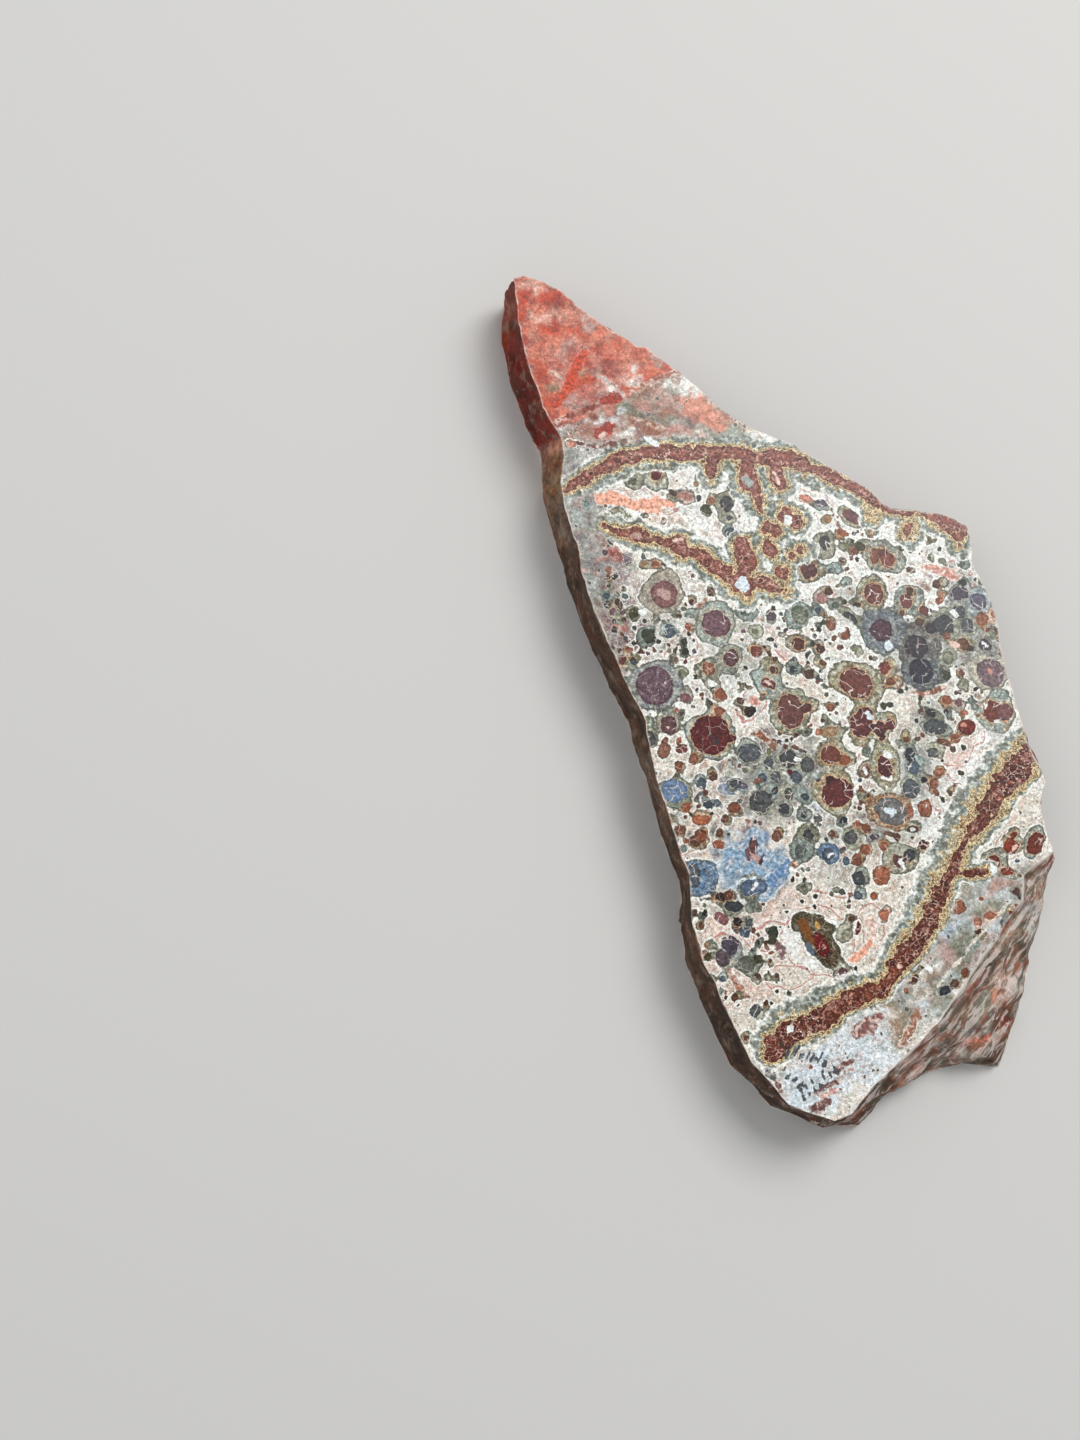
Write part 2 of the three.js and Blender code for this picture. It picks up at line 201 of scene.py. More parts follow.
# Orbs, by kind: x, y, radius of the core, radius of the halo, then for an oval its stretch
# and the turn of its long axis in degrees. A radius of 0 leaves that part out.
ORBS = {
    "maroon": [
        (10.2, -4.9, 1.75, 2.8, 1.1, 90), (10.9, -3.1, 0.95, 1.8), (12.8, -5.4, 1.05, 2.2),
        (14.3, -4.7, 0.75, 1.5), (13.3, -6.7, 0.5, 1.3), (6.2, -14.7, 2.2, 3.3), (5.4, -12.8, 0.7, 0),
        (13.5, -10.9, 1.3, 2.7, 1.25, 95),
    ],
    "red brown": [
        (9.9, 1.4, 2.35, 3.6, 1.13, -32), (-0.2, -2.7, 2.2, 3.2, 1.1, 100), (2.3, -2.3, 0.8, 0),
        (3.1, -2.1, 0, 1.4, 1.2, 10), (5.7, -9.1, 1.35, 2.3), (6.4, -9.6, 0, 2.4, 1.15, -10),
        (3.5, 18.0, 1.3, 2.2, 1.1, 0), (12.7, 14.6, 1.55, 2.5),
    ],
    "deep": [(-12.0, -6.2, 2.8, 3.8), (-9.2, -6.7, 0.7, 0, 1.5, 0), (-18.9, 31.9, 0.8, 1.9)],
    "brown red": [
        (15.3, 19.5, 1.15, 0), (14.7, 20.8, 0.75, 0), (14.6, 19.7, 0, 2.9, 1.12, -12),
        (29.8, -2.9, 1.6, 0, 1.1, 80), (30.6, -2.9, 0, 2.8), (17.8, 13.4, 1.0, 0), (18.5, 13.2, 0, 2.4),
        (20.4, 12.1, 0.75, 0), (1.2, 7.0, 0.95, 1.7), (4.6, 6.4, 0.75, 1.1), (-16.2, -8.4, 0.8, 0),
        (-3.3, 1.1, 1.0, 2.0, 1.25, -38), (14.2, 3.8, 1.0, 1.35), (18.5, -22.5, 0.75, 0.95),
        (-5.0, 6.2, 0.9, 1.05),
    ],
    "plum": [
        (-10.7, 9.9, 1.95, 3.1), (-8.7, 5.0, 1.15, 2.2, 1.12, 70), (5.9, -41.3, 1.15, 1.95, 1.3, 80),
        (10.2, 26.1, 1.2, 1.7, 1.3, -35), (-11.1, -32.8, 0.9, 0, 1.1, -20),
        (14.9, -24.6, 0.9, 2.1, 1.2, -30), (-17.9, -4.7, 1.35, 1.95), (31.8, -3.1, 1.35, 0),
        (-6.3, -22.6, 1.0, 0, 1.45, 90),
    ],
    "dark plum": [(13.9, 9.1, 1.65, 0)],
    "dusk": [(13.9, 9.1, 0, 3.5), (19.4, 2.9, 1.9, 3.2), (19.0, 6.5, 1.8, 3.2), (21.4, 9.4, 0.9, 1.5)],
    "mauve": [
        (-19.8, 0.9, 2.75, 3.9), (-18.3, 14.3, 2.0, 3.25), (-15.6, -0.8, 0.7, 1.2),
        (24.9, -1.6, 0.6, 1.1),
    ],
    "slate": [
        (5.9, 22.0, 1.0, 2.0, 1.1, 80), (-8.5, 28.1, 1.1, 1.6, 1.1, 90), (-8.15, 26.0, 0.5, 1.4),
        (-8.0, 23.7, 0.7, 1.1), (-6.4, -8.8, 1.5, 1.9, 1.1, 0), (-0.5, -10.0, 1.3, 1.7),
        (2.2, -10.5, 1.1, 1.4), (-2.6, -12.4, 0.8, 1.2), (-5.0, -16.2, 1.7, 2.0), (-0.8, -15.0, 0.8, 1.4),
        (-3.6, -10.4, 0.9, 1.3), (0.6, -12.6, 0.9, 1.5), (-4.6, -12.6, 0.7, 1.2), (-3.1, -14.6, 0.5, 1.2),
        (1.6, -15.4, 0.6, 1.3), (3.6, -12.8, 0.4, 0.9), (-1.6, -17.2, 0.8, 1.3), (1.2, -18.0, 0.5, 1.1),
        (3.4, -18.4, 0.7, 0), (8.0, -21.4, 1.0, 1.6), (7.2, -24.5, 0.6, 0, 1.1, 120),
        (6.6, -22.9, 0.5, 0), (21.3, -5.2, 1.4, 1.8, 1.3, -5), (17.9, -11.0, 1.0, 1.5),
        (17.2, -14.1, 1.35, 1.6), (20.7, -8.9, 0.8, 1.3), (23.3, 10.0, 1.6, 2.3), (27.0, 10.0, 1.0, 1.4),
        (25.6, 11.8, 1.0, 1.4), (-17.4, 8.7, 1.0, 1.3), (-20.9, -6.7, 1.1, 1.5, 1.25, 80),
        (-6.6, -45.8, 0.85, 1.0), (-7.9, -34.8, 0.75, 0), (-7.2, -33.2, 0.6, 0.95),
        (9.2, -27.1, 1.0, 1.25), (8.8, -29.4, 0.7, 0.85), (6.6, -28.9, 0.45, 0), (-12.9, -16.1, 0.7, 0.8),
        (-11.6, -16.0, 0.6, 0.7), (-13.7, -13.0, 0.8, 0.9), (-8.5, -13.3, 0.8, 1.05),
        (-8.0, 30.6, 0.4, 0.65), (15.0, -24.0, 0, 2.1), (-15.1, -26.6, 1.35, 0, 1.4, 95),
    ],
    "ringed": [(14.0, -17.4, 2.2, 3.1, 1.1, -30)],
    "dark slate": [
        (17.4, -9.2, 0.95, 1.15, 1.2, 100), (20.7, -3.1, 0.7, 1.0, 1.2, 0), (16.5, -23.8, 0.9, 1.2),
        (9.3, 11.0, 0.9, 1.4, 1.6, -35), (0.4, 3.2, 0.6, 1.15), (-9.3, -31.0, 1.0, 1.3, 1.3, -10),
        (7.0, -18.9, 0.55, 0.8, 1.3, 20), (1.7, -20.8, 0.8, 1.6), (22.9, -2.9, 0.4, 0.6),
        (19.3, -12.8, 0.45, 0.6), (20.8, -43.4, 0.7, 1.0, 1.2, 20),
    ],
    "slate purple": [
        (28.7, 13.4, 1.3, 2.1), (25.9, 14.5, 1.2, 1.9), (30.0, 3.0, 2.2, 2.9), (29.4, 7.1, 0.9, 1.6),
        (20.9, -21.9, 0.6, 0.85, 1.25, 0), (-2.5, 11.2, 0.8, 1.0, 1.15, 110), (-10.0, -36.6, 1.4, 1.9),
        (-11.0, -38.3, 1.2, 1.7), (-7.4, -13.6, 0.6, 0.95), (5.5, 28.1, 0.75, 1.0, 1.4, -12),
        (-11.4, 1.1, 0.6, 1.3),
    ],
    "blue": [(4.4, -23.4, 1.0, 1.6), (-14.0, -26.6, 0, 2.75)],
    "dull blue": [(-17.4, -14.3, 1.8, 2.5), (-6.4, -28.2, 1.5, 2.0, 1.15, 10)],
    "orange": [
        (7.6, -10.1, 0.75, 0), (9.7, -14.3, 0.45, 0), (13.3, 20.1, 0.95, 0, 1.35, 80),
        (6.0, -2.2, 0.6, 0.7), (-10.3, -0.3, 0.9, 1.1), (-12.0, 3.4, 0.9, 0),
        (6.4, 9.9, 0.85, 1.0, 1.1, 90), (8.6, 8.4, 0.7, 0.85), (6.85, 7.9, 0.45, 0), (7.7, 6.7, 0.45, 0),
        (8.4, 23.5, 0.7, 0.8, 1.15, -30), (10.2, 20.8, 0.6, 0.7), (10.6, -11.6, 0.7, 1.2, 1.3, 90),
        (23.2, -1.1, 0.8, 0.95), (25.6, -3.1, 0.5, 0.6), (12.4, -26.7, 1.35, 1.5, 1.08, 80),
        (10.1, -23.0, 0.8, 1.0), (8.8, -24.5, 0.9, 1.0), (9.1, -19.5, 0.55, 0.65),
        (10.3, -20.0, 0.7, 0.8), (12.6, -22.4, 0.65, 0.75), (-14.5, -9.7, 0.75, 0.85),
        (-16.6, -10.8, 0.65, 0.75), (19.2, -16.9, 1.2, 0, 1.1, 80), (20.9, -13.5, 0.8, 0.95),
        (21.1, -14.8, 0.5, 0.6), (21.6, -11.9, 0.75, 0.95), (23.7, 8.3, 0.6, 0.7),
        (22.8, 13.9, 0.65, 0.75), (-14.1, -20.8, 0.95, 1.1, 1.15, 90), (-11.3, -22.0, 0.8, 0.9, 1.3, 0),
        (-13.9, -18.4, 1.0, 1.2, 1.25, 0), (-17.0, -20.0, 0.8, 0.9), (-16.3, -21.5, 0.45, 0),
        (-14.9, -21.5, 0.9, 1.05), (-9.0, -16.9, 0.95, 1.05, 1.2, 10), (5.2, -20.6, 0.5, 0.6),
        (-2.8, -21.0, 0.8, 1.1), (-9.9, -29.3, 0.7, 0.9), (23.6, -31.3, 1.05, 1.2),
        (24.0, -40.9, 0.65, 0.8), (25.5, 2.8, 0.5, 0.6), (29.2, 10.9, 0.9, 1.0),
        (16.8, -17.6, 0.75, 0.9, 1.4, 80), (11.1, -29.7, 0.6, 0.7), (-15.9, -16.7, 0.7, 0.85),
        (24.2, -6.8, 0.7, 0.85), (-14.6, 9.3, 0.55, 0.65), (-4.4, -6.5, 0.55, 0, 1.6, -25),
        (-2.9, -8.1, 0.5, 0, 1.4, -35), (0.4, -8.2, 0.5, 0, 1.6, -15),
    ],
    "rust": [
        (31.8, -22.6, 1.1, 1.7), (32.4, -20.8, 0.5, 0.9), (29.0, -24.9, 1.1, 1.9),
        (35.4, -22.4, 1.5, 2.0, 1.2, 60), (25.9, -5.3, 1.25, 1.5), (9.9, -41.2, 0.45, 1.0),
        (31.0, -26.4, 0.8, 1.2, 1.3, 0), (27.0, -26.5, 0.5, 0.8, 1.5, 0), (8.5, -34.1, 0.65, 0, 1.6, 80),
    ],
    "terracotta": [
        (-18.9, -8.6, 1.15, 0, 1.1, 80), (-18.6, -7.2, 0.6, 0), (3.8, -5.8, 0.45, 0), (6.9, -3.1, 0.4, 0),
        (-5.4, -13.0, 0.7, 0, 1.3, 30), (12.6, -32.4, 0.8, 0.95), (-10.7, -2.8, 0.8, 1.0),
        (28.3, -32.8, 0.8, 1.1, 1.5, 5), (26.3, -33.6, 0.7, 0.95),
    ],
    "brown": [
        (-12.0, 3.3, 0, 1.85), (18.5, 14.8, 0.7, 0), (19.6, 10.3, 0.65, 0.8), (17.1, 11.6, 0.5, 0),
        (-11.85, -12.0, 0.7, 0.85), (-10.4, -18.4, 0.65, 0.75), (2.8, 2.6, 0.8, 1.0),
        (-7.5, -1.3, 0.55, 0.7), (18.6, 18.1, 0.5, 0.6, 1.2, 0), (24.3, -14.1, 0.75, 0.9),
        (23.2, -15.0, 0.45, 0), (17.2, -20.0, 0.75, 1.0, 1.3, 10), (13.6, -20.7, 0.6, 0, 1.6, -15),
        (14.7, -21.2, 0.5, 0), (22.4, -7.3, 0.7, 0.9, 1.4, -10), (23.7, -8.2, 0.5, 0),
        (26.1, 7.2, 1.0, 1.5), (-9.3, -43.9, 0.6, 0.75), (-8.3, -49.3, 0.5, 0.95),
        (-5.0, -45.0, 0.4, 0.5), (6.2, 15.0, 0.6, 0.7), (22.4, -42.4, 0.6, 0.8),
        (26.6, -35.2, 0.5, 0.75, 1.4, 0), (-11.2, -20.4, 0.65, 0.75), (-16.5, 29.4, 0.55, 0.8),
        (-21.9, 5.7, 0.45, 0.6), (16.9, -6.9, 0.5, 0.75), (19.3, -2.8, 0.35, 0.45),
        (-6.2, -41.0, 0.5, 0.6), (-3.4, -40.8, 0.35, 0.55), (7.6, -32.8, 0.45, 0.7), (0.5, -6.2, 0.35, 0),
        (-2.6, 3.3, 0.6, 1.25), (22.7, 16.0, 0.6, 1.1),
    ],
    "dark brown": [
        (-6.2, -2.8, 0.75, 0.95, 1.1, 85), (-2.8, -14.3, 0.4, 0.5), (-11.3, -29.7, 0.8, 1.0),
        (-8.9, -33.3, 0.7, 0.85),
    ],
    "tan": [
        (5.6, -5.8, 1.0, 1.4, 1.25, 0), (6.4, 25.8, 0.7, 0.95), (-13.1, 30.9, 0.5, 0.75),
        (13.2, 23.8, 0.7, 1.1), (-27.0, 25.2, 0.7, 1.0), (-13.3, -36.5, 0.5, 0.9),
    ],
    "olive": [
        (-11.6, 27.0, 0.85, 0.95, 1.2, -25), (4.4, 9.4, 0.5, 0.55), (-20.7, 8.2, 1.1, 1.4),
        (-22.8, 11.7, 0.8, 1.25), (11.4, 21.6, 0.8, 0.95, 1.1, 0), (8.2, 13.4, 0.45, 0.55),
        (10.1, 13.0, 0.45, 0.6, 1.4, 0), (18.8, 21.2, 0.45, 0.5), (17.5, 21.4, 0.4, 0.45),
        (13.7, -2.1, 0.5, 0), (14.7, -2.0, 0.5, 0), (16.3, -0.2, 0.4, 0), (18.5, -4.3, 0.4, 0),
        (25.3, -8.1, 0.38, 0), (28.8, -8.9, 0.33, 0), (24.9, -11.8, 0.45, 0), (21.9, -15.8, 0.33, 0),
        (27.4, 0.5, 0.38, 0), (23.3, 2.4, 0.75, 0.85), (26.4, 16.4, 0.6, 0.8), (23.0, 21.1, 0.33, 0),
        (-3.9, -34.5, 0.8, 0.9), (-6.0, -38.3, 0.6, 0.75), (2.3, -31.1, 0.42, 0), (1.25, -27.0, 0.38, 0),
        (2.6, -29.5, 0.42, 0), (-13.4, -32.1, 0.5, 0.6), (-13.2, -38.2, 0.45, 0.55),
        (7.9, -39.9, 0.28, 0), (-4.6, -40.4, 0.35, 0.5), (-3.5, -43.3, 0.33, 0),
        (-1.8, -43.3, 0.35, 0.45), (-20.0, -11.8, 0.22, 0), (17.2, -21.3, 0.25, 0),
        (-9.7, -20.7, 0.28, 0), (-12.3, -17.5, 0.28, 0), (21.9, -10.0, 0.33, 0), (-15.2, 7.1, 0.55, 0.65),
        (-15.2, 5.9, 0.65, 0.75), (-1.9, 12.2, 0.38, 0), (-2.8, 7.8, 0.45, 0, 1.3, 0),
        (-3.7, 6.9, 0.25, 0), (3.3, 7.1, 0.4, 0.55), (-1.85, -31.8, 0.33, 0), (0.4, -30.3, 0.28, 0),
        (7.0, -1.7, 0.28, 0), (-12.1, -1.6, 0.35, 0.4), (27.2, 6.7, 0.45, 0.55), (-4.1, -35.7, 0.5, 0),
    ],
    "pale olive": [
        (22.0, 22.8, 0.8, 1.1), (1.7, 11.3, 1.3, 1.9, 1.05, 30), (10.65, -8.75, 0.6, 0.8),
        (-7.2, 0.4, 0.3, 0.4), (5.4, 0.7, 0.3, 0.42), (9.9, 6.2, 0.45, 0.7), (-18.3, -18.2, 0.6, 0.9),
    ],
    "grey": [
        (-6.2, 11.8, 0.7, 1.5), (-4.95, 9.1, 0.5, 1.2), (7.0, 18.0, 0.5, 1.1), (8.7, 16.0, 0.4, 0.75),
        (7.0, 12.8, 0.5, 0.85), (23.6, 5.1, 1.0, 1.5), (0.6, -23.2, 0.9, 1.7), (1.0, -28.4, 0.6, 1.15),
        (-7.7, -39.2, 1.2, 1.8, 1.1, 0), (23.4, 19.3, 0.4, 0.65), (26.4, 19.4, 0.6, 1.0),
        (-15.9, 2.8, 0.6, 1.1), (26.8, -0.7, 0.3, 0.55), (25.9, 1.2, 0.5, 0.75),
        (-16.8, -22.7, 0.4, 0.65), (7.0, -35.0, 0.9, 1.3, 1.15, 80), (5.1, -29.1, 0.4, 0.6),
        (25.9, -36.7, 0.4, 0.65), (-22.4, 31.5, 1.0, 1.7), (-25.0, 26.3, 0.9, 1.4, 1.1, 0),
        (-29.2, 27.8, 0.4, 0.65), (-4.9, 23.8, 0.3, 0.4), (21.6, 19.8, 0.35, 0.55),
        (-6.5, -30.9, 0.5, 0.8),
    ],
    "pink": [
        (5.1, 14.0, 0.85, 1.0), (3.0, 28.9, 0.75, 0.9, 1.4, -8), (-14.8, 28.9, 0.7, 0.95, 1.3, -20),
        (1.1, 19.1, 0.4, 0.5), (-31.1, 36.6, 0.5, 0.7),
    ],
    "crystal": [
        (3.1, -36.4, 1.5, 0, 1.3, -60), (0.9, -33.8, 0, 1.5), (2.2, -34.6, 0, 1.9), (3.3, -36.1, 0, 2.3),
        (4.4, -38.0, 0, 1.9), (4.3, -35.0, 0, 1.3),
    ],
}


def band(points, left=(1.0, 1.0), right=(1.0, 1.0)):
    """One band: its points, then the shares of its fringe and halo that lie on its left and right."""
    return points, left, right


# Bands, each a line of points: x, y, the core's half width, width of the gold fringe, width of
# the grey-green halo, and the core's tint as a place along BAND_TONES.
BANDS = [
    band([
        (-32.0, 29.6, 0.5, 0.2, 0.5, 0.1), (-29.0, 31.7, 0.9, 0.3, 0.7, 0.1),
        (-26.0, 33.3, 1.0, 0.3, 0.8, 0.1), (-23.3, 34.8, 1.1, 0.35, 0.8, 0.3),
        (-20.5, 35.4, 1.0, 0.4, 0.9, 0.2), (-17.5, 35.7, 1.3, 0.4, 1.0, 0.0),
        (-13.5, 35.6, 1.0, 0.4, 1.0, 0.0), (-10.0, 35.5, 0.9, 0.35, 1.1, 0.0),
        (-6.0, 35.6, 1.1, 0.35, 1.1, 0.1), (-2.0, 34.8, 1.2, 0.4, 1.0, 0.0),
        (1.2, 34.6, 1.35, 0.4, 1.0, 0.0), (4.5, 33.5, 0.95, 0.45, 1.0, 0.0),
        (8.0, 32.1, 0.95, 0.45, 1.0, 0.1), (11.0, 30.7, 1.15, 0.5, 1.0, 0.1),
        (13.5, 29.0, 1.0, 0.6, 0.9, 0.0), (16.0, 27.8, 0.8, 0.7, 0.8, 0.0),
        (19.6, 27.2, 0.7, 0.8, 0.8, 0.0), (22.5, 26.4, 0.9, 0.8, 0.8, 0.1),
        (25.0, 25.5, 1.2, 0.8, 0.8, 0.0), (26.6, 24.0, 1.1, 0.6, 0.8, 0.2),
        (26.6, 21.8, 0.4, 0.7, 0.8, 0.7)
    ], (0.12, 1.0), (0.4, 1.3)),
    band([
        (-5.3, 33.8, 1.2, 0.35, 0.9, 0.0), (-5.2, 31.2, 1.25, 0.35, 1.0, 0.0),
        (-4.3, 29.8, 0.9, 0.4, 1.0, 0.0), (-3.7, 28.3, 0.95, 0.35, 1.0, 0.1),
        (-3.2, 26.9, 0.4, 0.3, 0.8, 0.0)
    ]),
    band([
        (-1.0, 33.6, 1.1, 0.35, 0.9, 0.0), (-0.7, 31.8, 1.0, 0.35, 0.9, 0.0),
        (0.0, 30.7, 0.8, 0.35, 0.9, 0.0)
    ]),
    band([(-10.4, 34.6, 1.0, 0.35, 0.9, 0.0), (-10.8, 32.6, 0.9, 0.35, 0.9, 0.0)]),
    band([
        (-26.8, 24.4, 0.4, 0.5, 0.6, 0.5), (-24.5, 23.5, 0.4, 0.6, 0.6, 0.5),
        (-21.8, 23.0, 1.05, 0.35, 0.7, 0.1), (-20.3, 22.7, 0.55, 0.4, 0.8, 0.1),
        (-18.0, 22.1, 0.6, 0.5, 0.9, 0.1), (-15.8, 21.9, 1.35, 0.35, 0.8, 0.1),
        (-15.4, 20.7, 1.1, 0.35, 0.8, 0.1), (-13.3, 20.9, 0.65, 0.5, 0.8, 0.6),
        (-11.9, 19.3, 1.05, 0.4, 0.9, 0.2), (-9.7, 17.9, 1.1, 0.4, 0.9, 0.2),
        (-8.3, 16.6, 0.9, 0.6, 0.9, 0.3), (-6.4, 15.9, 1.5, 0.7, 0.9, 0.2),
        (-4.4, 16.2, 0.9, 0.6, 0.8, 0.4), (-2.3, 15.7, 1.0, 0.5, 0.8, 0.1),
        (-0.8, 15.1, 0.5, 0.9, 0.7, 0.8)
    ]),
    band([
        (-6.2, 21.5, 1.35, 0.3, 0.7, 0.0), (-6.1, 19.6, 1.55, 0.35, 0.8, 0.1),
        (-6.2, 17.6, 1.0, 0.4, 0.8, 0.3)
    ]),
    band([(-5.9, 14.4, 0.5, 0.7, 0.5, 1.0), (-6.1, 14.0, 0.5, 0.6, 0.5, 1.0)]),
    band([(1.6, 25.6, 1.25, 0.3, 0.9, 0.0), (0.2, 26.5, 1.0, 0.3, 0.9, 0.0)]),
    band([(-1.9, 24.3, 1.2, 0.3, 0.7, 0.1), (-1.5, 23.7, 1.1, 0.3, 0.7, 0.1)]),
    band([(-2.6, 21.3, 1.05, 0.3, 0.6, 0.1), (-2.1, 20.9, 1.0, 0.3, 0.6, 0.1)]),
    band([(-0.7, 18.1, 0.85, 0.4, 0.5, 0.1), (-0.3, 17.6, 0.85, 0.5, 0.5, 0.4)]),
    band([(0.9, 20.4, 0.5, 0.4, 0.5, 0.6), (1.0, 20.3, 0.5, 0.4, 0.5, 0.6)]),
    band([(2.3, 21.2, 0.3, 0.6, 1.0, 0.8), (2.5, 21.0, 0.3, 0.6, 1.0, 0.8)]),
    band([(18.7, 24.9, 0.5, 1.3, 0.7, 0.6), (18.7, 23.8, 0.4, 1.3, 0.8, 0.6)]),
    band([(13.8, 26.9, 0.3, 1.0, 0.6, 0.6), (13.4, 26.3, 0.3, 1.0, 0.6, 0.6)]),
    band([
        (35.4, -8.4, 1.3, 1.2, 0.8, 2.0), (33.8, -11.0, 2.0, 1.5, 1.0, 2.0),
        (31.2, -13.7, 1.6, 1.6, 1.1, 2.1), (29.4, -15.9, 1.25, 2.0, 1.3, 2.1),
        (27.6, -18.6, 0.9, 2.2, 1.6, 2.0), (25.2, -21.6, 0.6, 2.0, 1.7, 2.1),
        (23.6, -24.3, 0.55, 1.7, 1.6, 2.1), (22.9, -26.4, 0.8, 1.6, 1.4, 2.2),
        (21.1, -29.0, 1.1, 1.4, 1.3, 2.0), (20.2, -31.0, 1.1, 1.3, 1.2, 2.0),
        (18.4, -34.3, 1.25, 1.2, 1.2, 2.0), (16.8, -36.5, 1.3, 1.0, 1.1, 2.1),
        (15.0, -38.7, 1.2, 0.8, 1.0, 2.4), (13.2, -41.0, 1.1, 0.6, 0.8, 2.9),
        (11.8, -42.9, 1.2, 0.4, 0.7, 3.0), (8.3, -43.7, 1.5, 0.3, 0.9, 2.4),
        (5.4, -45.2, 1.4, 0.4, 1.4, 2.3), (2.8, -47.0, 1.35, 0.5, 1.6, 2.1),
        (1.0, -48.0, 1.5, 0.5, 1.5, 2.1), (-1.5, -48.6, 1.5, 0.6, 1.3, 2.1),
        (-3.6, -50.3, 1.8, 0.6, 0.8, 2.1), (-4.2, -51.5, 1.4, 0.5, 0.5, 2.2)
    ], (0.7, 0.25), (1.0, 1.35)),
    band([
        (23.8, -26.7, 0.4, 0.2, 0.3, 2.8), (25.9, -26.5, 0.6, 0.15, 0.4, 2.8),
        (28.0, -26.2, 0.5, 0.15, 0.4, 2.7)
    ]),
]

# Veins and patches that lie under the orbs: tint, then points (x, y, half width).
VEINS = [
    ("salmon", [(-26.9, 28.5, 0.9), (-24.8, 28.6, 0.9), (-22.4, 27.6, 0.8), (-20.2, 27.3, 1.0),
        (-18.9, 27.9, 0.7), (-16.4, 27.7, 0.4)]),
    ("salmon", [(-20.2, 27.6, 0.6), (-19.2, 26.5, 0.4)]),
    ("vermilion", [(-33.5, 42.2, 0.4), (-31.6, 45.2, 0.7), (-30.2, 48.0, 0.8), (-28.8, 50.6, 0.5)]),
    ("rust", [(-33.5, 39.9, 0.2), (-30.5, 41.0, 0.35), (-27.5, 42.4, 0.4)]),
    ("red", [(-26.4, 43.0, 0.6), (-24.6, 43.6, 0.9)]),
    ("terracotta", [(-22.8, 44.5, 0.25), (-19.5, 46.0, 0.3), (-16.5, 47.4, 0.3), (-14.2, 48.6, 0.2)]),
    ("terracotta", [(-22.5, 40.6, 0.25), (-20.5, 40.2, 0.3), (-18.3, 39.5, 0.35), (-16.8, 37.6, 0.5)]),
    ("red", [(-27.2, 38.2, 0.6), (-25.6, 39.2, 0.8)]),
    ("brown red", [(-31.0, 36.9, 0.2), (-28.5, 36.6, 0.3), (-24.5, 36.6, 0.6), (-22.5, 37.4, 0.3)]),
    ("terracotta", [(-10.1, -40.4, 0.5), (-8.9, -42.0, 0.5), (-7.8, -43.6, 0.5)]),
    ("salmon", [(10.5, -36.1, 0.5), (9.4, -37.5, 0.6), (7.6, -38.6, 0.6)]),
    ("pale pink", [(10.5, -33.0, 0.9), (10.8, -35.0, 0.9)]),
    ("mauve", [(-3.6, -36.0, 0.5), (-2.8, -37.6, 0.8)]),
    ("pink", [(20.6, 18.7, 0.3), (22.4, 18.1, 0.7), (25.2, 17.5, 0.9)]),
    ("pink", [(27.4, 15.9, 0.5), (29.2, 14.9, 0.4)]),
    ("pink", [(-5.9, -1.2, 0.7), (-5.4, -1.5, 0.6)]),
    ("orange", [(17.8, -0.3, 0.3), (19.2, -0.4, 0.5), (21.4, 0.2, 0.5), (22.8, 0.8, 0.3)]),
    ("tan", [(15.2, 11.9, 0.3), (16.4, 10.9, 0.35), (16.9, 9.8, 0.3)]),
    ("tan", [(17.9, 8.6, 0.3), (19.6, 8.8, 0.4), (21.2, 8.0, 0.3)]),
    ("terracotta", [(-13.3, 10.6, 0.5), (-12.9, 12.3, 0.5), (-12.0, 13.3, 0.5)]),
    ("slate", [(-12.0, 12.0, 0.8), (-11.2, 12.6, 0.6)]),
    ("brown", [(6.8, 27.5, 0.15), (7.4, 25.9, 0.15), (8.1, 24.6, 0.2)]),
    ("pale olive", [(1.6, 10.0, 0.35), (1.7, 8.8, 0.25)]),
    ("orange", [(-6.0, -6.0, 0.3), (-4.8, -6.1, 0.35), (-3.6, -7.1, 0.3), (-2.2, -8.0, 0.3)]),
    ("pale blue", [(-10.4, -22.8, 1.0), (-8.6, -24.2, 2.2), (-5.6, -24.8, 2.6), (-3.0, -25.2, 1.4)]),
    ("pale blue", [(-7.2, -28.0, 1.7), (-5.0, -28.4, 1.9)]),
    ("blue", [(-4.4, -27.8, 1.5), (-2.6, -26.0, 1.5), (-1.5, -24.8, 0.7)]),
    ("pale blue", [(-6.2, -20.9, 1.2), (-6.2, -22.6, 1.8)]),
    ("slate purple", [(-6.4, -21.2, 0.8), (-6.5, -23.4, 1.4)]),
    ("dull blue", [(-10.6, -14.0, 0.7), (-9.4, -14.2, 0.8)]),
    ("band maroon", [(8.0, -49.0, 0.9), (9.4, -48.1, 1.3), (10.8, -47.0, 0.9)]),
    ("brown red", [(4.4, -54.4, 0.3), (5.8, -53.4, 0.5), (7.4, -52.8, 0.25)]),
    ("brown red", [(1.4, -57.4, 0.35), (3.5, -56.4, 0.5), (5.4, -55.2, 0.35)]),
    ("brown red", [(1.0, -59.4, 0.5), (2.6, -59.2, 0.8), (3.6, -58.7, 0.6)]),
    ("pink", [(2.4, -58.0, 0.3), (4.2, -57.2, 0.5)]),
    ("terracotta", [(5.2, -53.9, 0.2), (6.6, -53.3, 0.25)]),
    ("terracotta", [(5.6, -54.6, 0.2), (6.9, -53.9, 0.2)]),
    ("slate", [(-4.9, -54.2, 0.7), (-4.4, -55.0, 0.6)]),
    ("brown red", [(-3.9, -55.6, 0.35), (-3.4, -57.0, 0.4)]),
    ("terracotta", [(16.6, -47.0, 0.8), (15.4, -49.0, 0.7), (14.5, -50.4, 0.4)]),
]
